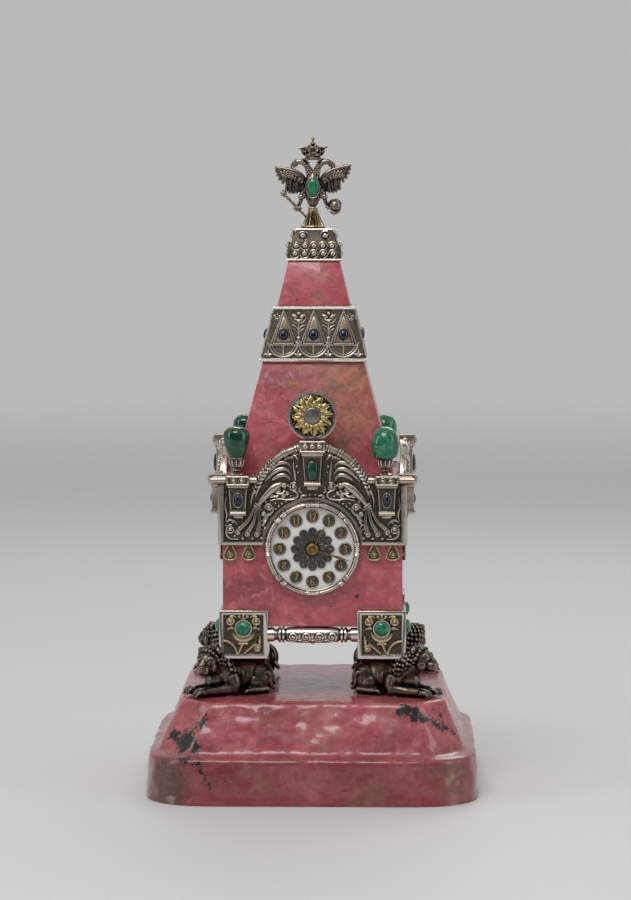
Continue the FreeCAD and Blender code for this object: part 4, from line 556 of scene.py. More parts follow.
def stone_material():
    material, tree, shader = new_material("pink_stone", Coat_Weight=0.5, Coat_Roughness=0.05, IOR=1.5)
    coords = millimetres(tree)
    drift = clouds(tree, coords, 0.05, output="Color")
    drift = put(tree, "ShaderNodeVectorMath", {0: drift, "Scale": 16.0}, operation="SCALE").outputs[0]
    warped = put(tree, "ShaderNodeVectorMath", {0: coords, 1: drift}, operation="ADD").outputs[0]
    broad = clouds(tree, warped, 0.045, 5.0, 0.6, 0.4)
    fine = clouds(tree, warped, 0.21, 7.0, 0.68, 0.2)
    grain = clouds(tree, coords, 0.9, 5.0, 0.7)
    pale = clouds(tree, coords, 0.13, 5.0, 0.65, 1.4)
    blush = clouds(tree, warped, 0.075, 4.0, 0.6, 0.6)
    rose = ramp(tree, broad, (0.30, paint(130, 50, 58)), (0.43, paint(170, 74, 84)),
                (0.56, paint(194, 94, 102)), (0.70, paint(214, 130, 134)))
    rose = mixed(tree, level(tree, fine, 0.42, 0.70, 0.0, 0.65), rose, paint(128, 48, 60))
    rose = mixed(tree, level(tree, grain, 0.50, 0.72, 0.0, 0.34), rose, paint(204, 126, 130))
    rose = mixed(tree, level(tree, pale, 0.55, 0.70, 0.0, 0.65), rose, paint(214, 136, 138))
    rose = mixed(tree, level(tree, blush, 0.55, 0.66, 0.0, 0.6), rose, paint(178, 62, 82))

    # Earthy and peach areas, and a deeper tone low on the plinth
    earth = level(tree, clouds(tree, warped, 0.034, 6.0, 0.68, 1.0), 0.555, 0.67, 0.0, 0.62)
    spots = patches(tree, coords, EARTH_PATCHES, centred(tree, fine, 22.0))
    earth = maths(tree, "MAXIMUM", earth, maths(tree, "MULTIPLY", 0.75, spots))
    peach = level(tree, clouds(tree, coords, 0.16, 6.0, 0.7, 0.8), 0.40, 0.60)
    rose = mixed(tree, earth, rose, mixed(tree, peach, paint(122, 92, 60), paint(190, 124, 102)))
    height = put(tree, "ShaderNodeSeparateXYZ", {0: coords}).outputs["Z"]
    deep = maths(tree, "ADD", level(tree, height, 46.0, 40.0, 0.0, 0.24), level(tree, height, 24.0, 17.0, 0.0, 0.26))
    rose = mixed(tree, deep, rose, paint(84, 30, 40))

    # The brown corner with its dark net
    umber = patch(tree, coords, *UMBER_CORNER, centred(tree, fine, 14.0))
    brown = mixed(tree, level(tree, grain, 0.38, 0.62), paint(66, 38, 32), paint(108, 66, 57))
    brown = mixed(tree, level(tree, cell_edges(tree, warped, 0.2), 0.06, 0.0, 0.0, 0.7), brown, paint(38, 20, 19))
    rose = mixed(tree, maths(tree, "MULTIPLY", umber, 0.9), rose, brown)

    # Hair cracks, specks and black veins
    crack = level(tree, cell_edges(tree, warped, 0.07), 0.018, 0.0)
    crack = maths(tree, "MULTIPLY", crack, level(tree, clouds(tree, coords, 0.06), 0.50, 0.60))
    rose = mixed(tree, maths(tree, "MULTIPLY", crack, 0.6), rose, paint(76, 28, 36))
    specks = level(tree, clouds(tree, coords, 0.5, distortion=0.6), 0.72, 0.75)
    rose = mixed(tree, specks, rose, paint(44, 26, 30))
    veins = patches(tree, coords, VEIN_PATCHES, centred(tree, clouds(tree, coords, 0.34, 8.0, 0.76), 19.0))
    branches = clouds(tree, warped, 0.55, 8.0, 0.8, 1.8)
    solid = maths(tree, "ADD", maths(tree, "MULTIPLY", veins, 0.6), maths(tree, "MULTIPLY", branches, 0.6))
    colour = mixed(tree, level(tree, solid, 0.66, 0.74), rose, paint(14, 12, 13))
    dressed(tree, shader, colour, level(tree, fine, 0.3, 0.8, 0.22, 0.42), clouds(tree, coords, 0.12, 2.0), 0.4, 1.0)
    return material


# Oxidised silver: dark in its recesses, bright where it is rubbed
def silver_material(name, dark, warm, bright, reach, polish=0.0, rough=(0.5, 0.26)):
    material, tree, shader = new_material(name, Metallic=1.0)
    coords = millimetres(tree)
    ridge = level(tree, put(tree, "ShaderNodeNewGeometry").outputs["Pointiness"], 0.47, 0.56, -0.22, 0.32)
    stain = level(tree, clouds(tree, coords, 0.32, 4.0, 0.6), 0.3, 0.7, -0.1, 0.1)
    rubbed = level(tree, open_space(tree, reach, 8), 0.45, 1.0, polish - 0.1, 0.72 + polish)
    bright_share = maths(tree, "ADD", rubbed, maths(tree, "ADD", ridge, stain))
    colour = ramp(tree, bright_share, (0.12, paint(*dark)), (0.45, paint(*warm)), (0.85, paint(*bright)))
    dressed(tree, shader, colour, level(tree, bright_share, 0.1, 0.9, *rough), clouds(tree, coords, 0.9, 2.0), 0.15, 0.06)
    return material


def ground_material():
    material, tree, shader = new_material("oxidised_ground", Metallic=1.0)
    coords = millimetres(tree)
    stipple = clouds(tree, coords, 3.4, 3.0, 0.6)
    colour = mixed(tree, level(tree, stipple, 0.38, 0.66), paint(62, 54, 46), paint(128, 118, 106))
    colour = mixed(tree, level(tree, clouds(tree, coords, 0.25), 0.35, 0.7, 0.0, 0.4), colour, paint(74, 64, 54))
    colour = mixed(tree, level(tree, open_space(tree, 1.4, 6), 0.35, 0.85), paint(20, 16, 13), colour)
    dressed(tree, shader, colour, level(tree, stipple, 0.3, 0.7, 0.6, 0.4), stipple, 0.6, 0.12)
    return material


def gem_material(name, deep, body, veil, scale, veil_share):
    material, tree, shader = new_material(
        name, Roughness=0.08, IOR=1.5, Coat_Weight=0.4, Coat_Roughness=0.03,
        Subsurface_Weight=0.25, Subsurface_Scale=0.0015)
    coords = millimetres(tree)
    cloudy = clouds(tree, coords, scale, 5.0, 0.65, 1.5)
    colour = ramp(tree, cloudy, (0.30, paint(*deep)), (0.52, paint(*body)), (0.78, paint(*veil)))
    thread = level(tree, cell_edges(tree, coords, scale * 2.2), 0.05, 0.0, 0.0, veil_share)
    colour = mixed(tree, thread, colour, paint(*veil))
    dressed(tree, shader, colour, None, clouds(tree, coords, scale * 0.8, 2.0), 0.15, 0.3)
    return material


# Metal with painted shade: its recesses, found by ambient occlusion, take the darker shade colour, and clouds mottle it
# at random
def metal_material(name, colour, shade, rough):
    material, tree, shader = new_material(name, Metallic=1.0)
    coords = millimetres(tree)
    cloudy = clouds(tree, coords, 0.6, 4.0, 0.6)
    # Painted shade: ambient occlusion darkens the recesses towards the shade colour
    unshaded_share = level(tree, open_space(tree, 0.9, 6), 0.4, 1.0, 0.0, 0.8)
    bright_share = maths(tree, "ADD", unshaded_share, level(tree, cloudy, 0.3, 0.7, -0.1, 0.2))
    roughness = level(tree, cloudy, 0.3, 0.7, rough * 0.8, rough * 1.25)
    surface = mixed(tree, bright_share, paint(*shade), paint(*colour))
    dressed(tree, shader, surface, roughness, clouds(tree, coords, 2.0), 0.2, 0.05)
    return material


def enamel_material():
    material, tree, shader = new_material("enamel", Coat_Weight=0.7, Coat_Roughness=0.06)
    coords = millimetres(tree)
    cloudy = clouds(tree, coords, 0.25, 4.0)
    colour = mixed(tree, cloudy, paint(226, 222, 216), paint(240, 239, 236))
    dressed(tree, shader, colour, level(tree, cloudy, 0.3, 0.7, 0.24, 0.36), clouds(tree, coords, 0.6, 2.0), 0.12, 0.1)
    return material


STONE = stone_material()
GROUND = ground_material()
ENAMEL = enamel_material()
SILVER = silver_material("silver", (34, 28, 23), (112, 101, 90), (198, 186, 175), 1.6)
POLISHED = silver_material("polished_silver", (52, 45, 39), (150, 139, 128), (220, 210, 201), 2.2, 0.2, (0.36, 0.18))
DARK_SILVER = silver_material("dark_silver", (18, 14, 12), (54, 45, 39), (158, 144, 131), 2.4, -0.12, (0.42, 0.2))
BRIGHT_SILVER = silver_material("bright_silver", (88, 80, 72), (196, 187, 178), (240, 235, 229), 1.2, 0.3, (0.3, 0.16))
BRONZED = silver_material("bronzed_silver", (30, 24, 17), (118, 102, 78), (202, 184, 150), 1.2)
EMERALD = gem_material("emerald", (0, 24, 12), (0, 66, 38), (14, 108, 70), 0.3, 0.14)
PALE_EMERALD = gem_material("pale_emerald", (0, 60, 36), (10, 108, 70), (84, 168, 128), 0.28, 0.26)
SAPPHIRE = gem_material("sapphire", (0, 1, 6), (3, 7, 34), (22, 46, 120), 0.4, 0.06)
GILT = metal_material("gilt", (216, 190, 130), (76, 58, 24), 0.26)
OLD_GOLD = metal_material("old_gold", (158, 130, 86), (72, 54, 32), 0.36)
ROSE_GILT = metal_material("rose_gilt", (170, 146, 110), (70, 54, 34), 0.36)
PALE_GILT = metal_material("pale_gilt", (206, 188, 152), (84, 68, 44), 0.36)
DARK_METAL = metal_material("dark_metal", (104, 98, 92), (26, 23, 22), 0.4)
PEWTER = metal_material("pewter", (158, 150, 144), (60, 54, 50), 0.34)
DROP_GROUND = metal_material("drop_ground", (120, 102, 76), (44, 34, 22), 0.42)
BRASS = metal_material("brass", (206, 168, 96), (110, 80, 40), 0.3)
STEEL = metal_material("steel", (186, 188, 192), (80, 82, 88), 0.24)
SLOT_MATERIALS = {
    "pink_stone": STONE, "silver": SILVER, "dark_silver": DARK_SILVER, "emerald": EMERALD, "sapphire": SAPPHIRE,
    "gilt": GILT, "dark_metal": DARK_METAL, "brass": BRASS, "steel": STEEL, "enamel": ENAMEL,
}

# Carried-over nodes take the finish of the slot that the record gives them
for row in frame["record"]["subparts"]:
    mesh = frame["nodes"][row["node"]].data
    mesh.materials.clear()
    mesh.materials.append(SLOT_MATERIALS[row["material_slot"]])
frame["nodes"]["frieze_drops"].data.materials[0] = DROP_GROUND


# Plinth, rubbed down by hand so that its faces wave. The profile gives half width, corner cut and level of each edge
PLINTH_PROFILE = ((73.7, 15.0, 0.0), (72.9, 15.0, 19.7), (68.0, 15.0, 21.4), (59.0, 13.0, 43.0), (0.4, 0.1, 43.0))
PLINTH_STEP = 0.9
PLINTH_SAMPLES = 360
PLINTH_WAVE = 0.75


def eased(values, rounds, closed):
    for _ in range(rounds):
        count = len(values)
        fresh = list(values)
        for i in range(count):
            if closed or 0 < i < count - 1:
                fresh[i] = (values[i - 1] + 2 * values[i] + values[(i + 1) % count]) / 4
        values = fresh
    return values


def cut_square_path(half, cut, rounds):
    inner = half - cut
    corners = [Vector(p) for p in ((half, -inner), (half, inner), (inner, half), (-inner, half),
                                   (-half, inner), (-half, -inner), (-inner, -half), (inner, -half))]
    edges = [(a, corners[(i + 1) % 8]) for i, a in enumerate(corners)]
    whole = sum((b - a).length for a, b in edges)
    path = []
    for a, b in edges:
        steps = round(PLINTH_SAMPLES * (b - a).length / whole)
        path.extend([a.lerp(b, s / steps) for s in range(steps)])
    return eased(path, rounds, True)


def plinth():
    levels = []
    for low, high in zip(PLINTH_PROFILE, PLINTH_PROFILE[1:]):
        steps = max(2, round(math.hypot(high[0] - low[0], high[2] - low[2]) / PLINTH_STEP))
        levels.extend([Vector(low).lerp(Vector(high), s / steps) for s in range(steps)])
    levels.append(Vector(PLINTH_PROFILE[-1]))
    levels = eased(levels, 3, False)
    top_half, top_cut, _ = PLINTH_PROFILE[3]
    top_shape = cut_square_path(top_half, top_cut, 14)
    points = []
    for place in levels:
        share = place.x / top_half
        on_top = place.z > PLINTH_TOP - 0.5
        if place.x <= 5 or place.z > PLINTH_TOP - 0.4:
            outline = [p * share for p in top_shape]
        else:
            rise = min(1.0, max(0.0, (place.z - 19.5) / 3.0))
            outline = eased(cut_square_path(place.x, place.y, 0), round(60 - 46 * rise), True)
        for p in outline:
            spot = at(p.x, p.y, place.z)
            wave = noise.noise(spot * 0.085) + 0.5 * noise.noise(spot * 0.19) + 0.2 * noise.noise(spot * 0.4)
            depth = PLINTH_WAVE * (0.5 + wave) * min(1.0, place.z / 4.0) * (0.25 if on_top and share < 0.93 else 1.0)
            if on_top and share < 0.6:
                depth += 0.16 * (0.5 + noise.noise(at(p.x * 0.05, p.y * 0.4, 3.0)))
            points.append(spot + at(-p.x, -p.y, -0.5 * place.z).normalized() * max(0.0, depth))
    count, rows = len(top_shape), len(levels)
    faces = skin(rows, count, ends=False)
    faces += [tuple(range((rows - 1) * count, rows * count)), tuple(reversed(range(count)))]
    form = Form()
    form.add(points, faces)
    finished(form, "stone_plinth", STONE, ("plinth",), sharp=60)


# The body and the spire, and the silver frames and mouldings, keep their CAD shapes with rounded edges.
# The tests say by a face's middle and normal which faces are the dark grounds behind the relief
def plain_pieces():
    def reach(c):
        return max(abs(c.x), abs(c.y))

    def on_plate(c, n):
        return abs(reach(c) - PLATE_FACE) < 0.15 and abs(n.z) < 0.3

    def on_block(c, n):
        return abs(reach(c) + BLOCK_RECESS_Y) < 0.15 and abs(n.z) < 0.3

    def on_band(c, n):
        return abs(reach(c) - BAND_FACE + (c.z - BAND_LOW.z) * math.tan(BAND_LEAN)) < 0.25 and 0.1 < n.z < 0.5

    def on_cap(c, n):
        return abs(n.z) < 0.6

    softened("body_block", "stone_body", STONE, 0.6, shortest=30.0, segments=3)
    softened("spire_lower", "stone_spire_lower", STONE, 0.5, shortest=12.0, segments=3)
    softened("spire_upper", "stone_spire_upper", STONE, 0.5, shortest=12.0, segments=3)
    for name in SIDES:
        softened("frieze_" + name, "silver_frieze_" + name, SILVER, 0.18, shortest=1.2, ground=on_plate)
    for corner in CORNERS:
        softened("corner_block_" + corner, "silver_block_" + corner, POLISHED, 0.3, shortest=1.0, ground=on_block)
    softened("corner_pedestals", "silver_pedestals", SILVER, 0.2, shortest=0.8)
    softened("keystones", "silver_keystones", SILVER, 0.22, shortest=0.8)
    softened("spire_band", "silver_band", SILVER, 0.25, shortest=1.0, ground=on_band)
    softened("spire_cap", "silver_cap", SILVER, 0.25, shortest=0.8, ground=on_cap)


# Dark fields behind the relief of the keystones and pedestals
def dark_fields():
    form = Form()
    plate(form, ((-4.7, 152.7), (4.7, 152.7), (4.7, 156.1), (-4.7, 156.1)), KEY_HEAD)
    plate(form, ((-2.8, 139.4), (2.8, 139.4), (3.5, 149.8), (-3.5, 149.8)), KEY_FACE)
    for x in (-PEDESTAL_X, PEDESTAL_X):
        plate(form, ((x - 4.2, 138.0), (x + 4.2, 138.0), (x + 4.2, 140.7), (x - 4.2, 140.7)), PEDESTAL_HEAD)
        plate(form, ((x - 2.7, 126.7), (x + 2.7, 126.7), (x + 3.3, 135.5), (x - 3.3, 135.5)), PEDESTAL_FACE)
    return form


# Chased relief of the frieze: a crested bird on each side of the keystone, its tail falling to the corner
BIRD_BODY = (
    (-11.8, 135.9), (-12.9, 136.9), (-14.0, 137.3), (-15.6, 136.9), (-17.4, 135.6), (-19.2, 133.9), (-21.0, 131.9),
    (-22.6, 130.0), (-24.0, 128.2),
)
BIRD_WIDTH_SHARES = ((0.0, 0.5), (0.1, 0.55), (0.2, 0.62), (0.32, 0.75), (0.5, 1.1), (0.7, 0.9), (1.0, 0.45))
BIRD_WIDEST = 1.75
# Feathers of the crest and lines beside it, each a path and its half width
CRESTS = (
    (((-22.3, 138.6), (-19.6, 143.2), (-15.4, 146.6), (-11.6, 147.0), (-9.6, 145.2)), 1.05),
    (((-20.2, 139.6), (-17.6, 142.4), (-14.0, 144.2), (-11.0, 143.8), (-9.6, 142.0)), 1.0),
    (((-17.8, 139.2), (-15.4, 141.0), (-12.6, 141.6), (-10.6, 140.6), (-10.0, 139.2)), 0.9),
    (((-8.4, 147.6), (-8.0, 144.0), (-7.6, 140.6), (-7.9, 137.8)), 0.5),
    (((-22.9, 137.6), (-24.2, 134.8), (-25.2, 131.8)), 0.5),
    (((-12.6, 148.6), (-10.4, 149.4), (-8.2, 149.0)), 0.55),
)
TAIL_ENDS = ((-24.4, 115.4), (-28.6, 115.6), (-32.8, 116.4))
VINES = (
    ((-9.6, 135.0), (-6.6, 133.6), (-7.6, 131.2), (-11.2, 130.6), (-15.0, 131.0), (-18.6, 130.2)),
    ((-12.0, 134.9), (-13.6, 133.4), (-15.8, 133.6), (-16.8, 135.0)), ((-14.8, 132.6), (-16.6, 132.0), (-18.4, 133.0)),
    ((-18.4, 128.6), (-17.4, 126.4), (-18.6, 124.4), (-20.8, 123.2), (-21.6, 120.8), (-21.2, 118.2)),
    ((-19.4, 124.6), (-20.6, 122.2), (-22.6, 121.0)), ((-20.4, 121.4), (-22.0, 119.6), (-23.6, 119.2)),
    ((-20.6, 118.4), (-21.4, 116.4), (-20.8, 114.4)), ((-38.0, 132.0), (-38.6, 128.0), (-37.8, 124.2), (-38.5, 121.2)),
    ((-38.2, 120.6), (-36.6, 121.6), (-34.6, 121.2), (-33.2, 119.6)),
    ((-38.6, 117.6), (-37.6, 114.6), (-35.8, 113.2), (-33.0, 113.0)),
    ((-26.8, 137.2), (-25.9, 135.0), (-26.6, 132.6), (-27.2, 129.6), (-26.8, 126.8)),
    ((-23.6, 139.2), (-25.0, 138.4), (-27.0, 138.2)), ((-6.2, 148.2), (-7.2, 149.8), (-8.8, 150.6)),
    ((-4.8, 133.6), (-5.8, 134.8), (-5.4, 136.2)), ((-2.6, 132.2), (-4.2, 132.6), (-5.4, 132.0)),
)
# Coils (place, radius, start angle and turns) and buds (place and radius)
SCROLLS = (
    (-8.4, 136.3, 2.0, 60, 1.6), (-19.3, 127.2, 1.75, 200, -1.5), (-15.0, 135.2, 1.2, 100, 1.3),
    (-18.2, 132.6, 1.1, 10, -1.3), (-36.2, 117.4, 2.1, 80, 1.6), (-21.6, 124.2, 1.1, -30, 1.4),
    (-13.0, 132.4, 0.95, 90, -1.3), (-11.2, 133.6, 0.8, 200, 1.3), (-26.0, 140.6, 1.0, 90, 1.3),
    (-24.4, 115.2, 1.35, 30, 1.4), (-28.6, 115.4, 1.4, 30, 1.4), (-32.9, 116.2, 1.4, 30, 1.4),
    (-7.4, 151.0, 0.8, 0, 1.2), (-4.6, 131.2, 0.75, 90, 1.2), (-25.6, 133.9, 0.8, 0, 1.2),
)
BUDS = (
    (-35.2, 120.6, 0.6), (-38.5, 119.2, 0.55), (-34.4, 114.4, 0.6), (-30.8, 113.2, 0.65), (-26.6, 113.2, 0.65),
    (-22.4, 113.4, 0.8), (-27.1, 139.6, 0.55), (-24.6, 141.8, 0.5), (-26.4, 125.2, 0.6), (-2.2, 131.0, 0.5),
    (-22.9, 126.2, 0.6), (-16.4, 129.0, 0.5), (-13.6, 129.0, 0.45), (-9.6, 132.2, 0.5), (-20.6, 129.6, 0.55),
    (-23.4, 123.6, 0.5), (-6.8, 145.4, 0.7), (-6.4, 142.8, 0.45), (-10.2, 151.0, 0.55), (-37.9, 134.2, 0.5),
    (-30.6, 120.0, 0.5), (-27.6, 123.4, 0.45), (-19.0, 117.0, 0.5),
)


def frieze_half():
    form = Form()
    y = -PLATE_FACE - 0.1
    line(form, BIRD_BODY, y - 0.2, share_table(BIRD_WIDTH_SHARES, BIRD_WIDEST), 0.8, 12, 5)
    ball(form, at(-12.4, y - 0.4, 137.0), (1.45, 1.1, 1.3), rings=10, sides=16)
    ball(form, at(-12.0, y - 1.4, 137.3), 0.38)
    limb(form, ((-11.2, y - 0.7, 137.2), (-10.0, y - 0.7, 136.7), (-9.7, y - 0.5, 135.3)), (0.85, 0.55, 0.14), sides=10)
    for shift in (-0.9, -0.3, 0.3, 0.9):
        step = at(shift * 0.8, -1.2 + 0.25 * abs(shift), shift * 0.5)
        tube(form, [p + step for p in smooth(BIRD_BODY[4:8], y, 5)], leaf_width(0.26), up=OUT, sides=6)
    for places, thick in CRESTS:
        path = smooth(places, y - 0.2)
        tube(form, path, leaf_width(thick, 0.14), flat=0.85, up=OUT, sides=10)
        if thick > 0.8:
            tube(form, [p + at(0, -0.78, 0.1) for p in path[3:-3]], 0.13, up=OUT, sides=5)
    across = at(0.82, 0, -0.57) * 1.5
    for step in (-0.55, 0.55):
        centre = at(-24.3, y - 0.5, 127.9) + at(0.57, 0, 0.82) * step
        tube(form, [centre - across, centre, centre + across], 0.5, up=OUT)
    for i, (x, z) in enumerate(TAIL_ENDS):
        start = (-24.1 - 0.7 * i, 127.2 + 0.1 * i)
        bend = ((start[0] + x) / 2 + 0.8, (start[1] + z) / 2 - 0.3)
        path = smooth((start, bend, (x + 0.4, z + 1.2)), y - 0.2, 8)
        tube(form, path, taper(0.5, 1.05), flat=0.8, up=OUT, sides=10)
        for side in (-1, 1):
            edge = [p + at(side * (0.2 + 0.45 * k / 16), -0.72, 0) for k, p in enumerate(path)]
            tube(form, edge, 0.17, up=OUT, sides=5)
    for places in VINES:
        line(form, places, y - 0.1, leaf_width(0.6, 0.28))
    for x, z, r, start, turns in SCROLLS:
        scroll(form, x, z, r, start, turns, y - 0.2, 0.42, 0.36 * r + 0.15)
    for x, z, r in BUDS:
        ball(form, at(x, y, z), (r, r * 0.9, r))
    tube(form, arc(0, ARCH_MID, 23.3, 100, 154, y), 0.34, up=OUT)
    tube(form, arc(0, DIAL_Z, 22.6, 92, 166, y, 30), 0.3, up=OUT)
    for step in range(17):
        ball(form, at(0, y, DIAL_Z) + spoke(math.radians(93 + 4.4 * step), 24.0), (0.5, 0.45, 0.5))
    return form


# Ties and leaves round the arch's roll
def arch_half():
    form = Form()
    centre = at(0, -PLATE_FACE, ARCH_MID)
    for angle in (104.0, 106.5, 117.0, 119.5, 133.0, 135.5):
        tube(form, arc(0, ARCH_MID, 25.85, angle - 0.55, angle + 0.55, -PLATE_FACE - 0.3, 2), 2.1, sides=18)
    for k in range(6):
        a, b = math.radians(138.5 + 4.2 * k), math.radians(142.0 + 4.2 * k)
        for low, high in ((24.2, 26.0), (27.4, 26.0)):
            path = (centre + OUT * 1.3 + spoke(a, low), centre + OUT * 2.05 + spoke(b, high))
            tube(form, smooth(path, steps=5), leaf_width(0.62, 0.15, 1.0))
    return form


# Beads, rods and rings on the keystone and the two pedestals of a side
def key_and_pedestals():
    form = Form()
    head = KEY_HEAD - 0.1
    for x in (-3.1, 0.0, 3.1):
        ball(form, at(x, head, 154.4), (1.25, 0.95, 1.25), rings=10, sides=16)
        loop(form, x, 154.4, 1.5, 1.6, head, 0.16, 24)
    for z in (156.6, 152.2):
        rod(form, (-5.3, z), (5.3, z), head + 0.2, 0.42)
    for side in (-1, 1):
        rod(form, (side * 4.0, 150.0), (side * 3.2, 139.3), KEY_FACE, 0.36)
    rod(form, (-3.9, 150.0), (3.9, 150.0), KEY_FACE, 0.3)
    rod(form, (-3.5, 137.9), (3.5, 137.9), KEY_FACE - 0.6, 0.62)
    head = PEDESTAL_HEAD - 0.05
    for x in (-PEDESTAL_X, PEDESTAL_X):
        for side in (-1, 1):
            ball(form, at(x + side * 1.75, head, 139.3), (0.9, 0.7, 0.9), sides=14)
            loop(form, x + side * 1.75, 139.3, 1.3, 1.25, head, 0.2, 24)
            rod(form, (x + side * 3.1, 126.6), (x + side * 3.7, 135.6), PEDESTAL_FACE, 0.34)
        for z in (141.1, 137.6):
            rod(form, (x - 4.7, z), (x + 4.7, z), head + 0.2, 0.4)
        loop(form, x, 130.6, 1.95, 3.2, PEDESTAL_FACE - 0.05, 0.17)
        rod(form, (x - 3.4, 125.0), (x + 3.4, 125.0), PEDESTAL_FACE - 0.5, 0.6)
    return form


def hanging_arc(x, z, r, reach, step):
    angles = [math.radians(a) for a in range(-reach, reach + 1, step)]
    return [(x + r * math.sin(a), z - r * math.cos(a)) for a in angles]


# Relief of one block panel, drawn for the right-hand block of the dial side
def block_panel():
    form = Form()
    x, z = BLOCK_MID, BLOCK_GEM_Z
    y = BLOCK_RECESS_Y - 0.15
    for side in (-1, 1):
        scroll(form, x + side * 5.9, z + 3.3, 2.0, 90, side * 1.5, y, 0.62, 0.85)
        arm = ((x + side * 3.0, z + 5.0), (x + side * 4.4, z + 5.6), (x + side * 5.9, z + 5.3))
        line(form, arm, y, taper(0.35, 0.62), steps=5)
        leaf = ((x + side * 4.0, z - 0.1), (x + side * 5.4, z + 0.4), (x + side * 7.4, z - 0.5))
        line(form, leaf, y - 0.05, leaf_width(0.85), 0.8, steps=5)
        ball(form, at(x + side * 1.7, y - 0.25, z + 5.2), (0.55, 0.5, 0.8))
    line(form, hanging_arc(x, z + 0.4, 5.3, 64, 16), y - 0.05, leaf_width(1.5, 0.2, 1.0), 0.5, 10, 5)
    ball(form, at(x, y - 0.25, z + 5.5), (0.6, 0.5, 0.85))
    tube(form, arc(x, z + 6.9, 2.7, 205, 335, y + 0.05, 8), 0.34, up=OUT)
    rod(form, (x - 1.9, z - 6.8), (x + 2.1, z - 6.8), y, 0.55)
    tube(form, arc(BLOCK_HIGH.x - 1.9, BLOCK_LOW.z + 1.9, 6.1, 90, 180, y), 0.62, up=OUT)
    rod(form, (x + 0.4, z - 6.8), (x + 2.2, z - 11.2), y, taper(0.7, 0.6))
    line(form, ((x - 5.8, z - 6.6), (x - 3.2, z - 8.6), (x - 0.3, z - 11.2)), y, taper(0.7, 0.6), steps=5)
    line(form, ((x - 7.6, z - 3.2), (x - 7.2, z - 6.0), (x - 7.4, z - 8.0)), y, leaf_width(0.7, 0.35), steps=5)
    scroll(form, x - 6.4, z - 9.0, 1.6, 150, -1.4, y, 0.55, 0.8)
    return form


def block_reliefs():
    panel = block_panel()
    right = Form().joined(panel).joined(panel.mirrored(), turned_side(1))
    left = right.mirrored()
    places = (("front_right", right, 0), ("front_left", left, 0), ("rear_left", right, 2), ("rear_right", left, 2))
    for name, form, turn in places:
        finished(placed(form, turned_side(turn)), "block_relief_" + name, BRONZED)


# Drops: a raised outline with a coil on it
def drop_reliefs():
    form = Form()
    y = -BODY_HALF - 1.1
    for x in (-36.4, -28.1, 27.2, 35.5):
        outline = ((x - 0.8, 110.4), (x - 2.6, 106.4), (x - 2.5, 104.9), (x - 1.2, 104.0), (x + 1.2, 104.0),
                   (x + 2.5, 104.9), (x + 2.6, 106.4), (x + 0.8, 110.4))
        line(form, outline, y, 0.36, steps=5)
        scroll(form, x, 106.2, 1.5, 100, 1.4, y, 0.3, 0.55)
    return form


# Cut stones: domes on the dial side, round or nearly square as the power says
def domed(form, centre, half_w, half_h, rise, power=2.0, rings=8, sides=40):
    points = []
    for j in range(1, rings + 1):
        share = math.sin(QUARTER * j / rings)
        lift = rise * math.cos(QUARTER * j / rings)
        for k in range(sides):
            a = FULL * k / sides
            x, z = (math.copysign(abs(way) ** (2 / power), way) for way in (math.cos(a), math.sin(a)))
            points.append(centre + OUT * lift + at(half_w * share * x, 0, half_h * share * z))
    points += [centre + OUT * rise, centre - OUT * 0.6]
    form.add(points, skin(rings, sides))


def cut_stones(node, material, places, half_w, half_h, rise, power):
    flat = Form()
    for x, z in places:
        domed(flat, at(x, span(node)[0].y + rise, z), half_w, half_h, rise, power)
    finished(on_four_sides(flat), node + "_cut", material, (node,), sharp=75)


# Band round the spire, drawn flat and then laid on its leaning face
def laid_on_band(form):
    copy = Form()
    for p in form.points:
        z = BAND_LOW.z + p.z * math.cos(BAND_LEAN)
        face = BAND_FACE - p.z * math.sin(BAND_LEAN)
        copy.points.append(at(p.x, -face + p.y * math.cos(BAND_LEAN), z - p.y * math.sin(BAND_LEAN)))
    copy.faces = list(form.faces)
    return copy


# A flower of two petals, a bud and two arcs under them
def lotus(form, x, s, scale):
    for side in (-1, 1):
        petal = [(x + side * dx * scale, s + dz * scale) for dx, dz in ((0.4, -0.9), (1.7, -0.1), (3.1, 0.7))]
        line(form, petal, -0.3, leaf_width(0.85 * scale, 0.1, 0.9), 0.9, 10)
    ball(form, at(x, -0.5, s + 1.1 * scale), (0.75 * scale, 0.7, 0.85 * scale), rings=10, sides=14)
    inner = hanging_arc(x, s - 0.3 * scale, 1.9 * scale, 70, 20)
    outer = hanging_arc(x, s + 0.2 * scale, 3.5 * scale, 80, 20)
    line(form, inner, -0.25, leaf_width(0.75 * scale, 0.2, 1.0), 0.8, steps=4)
    line(form, outer, -0.1, 0.26 * scale, steps=4)


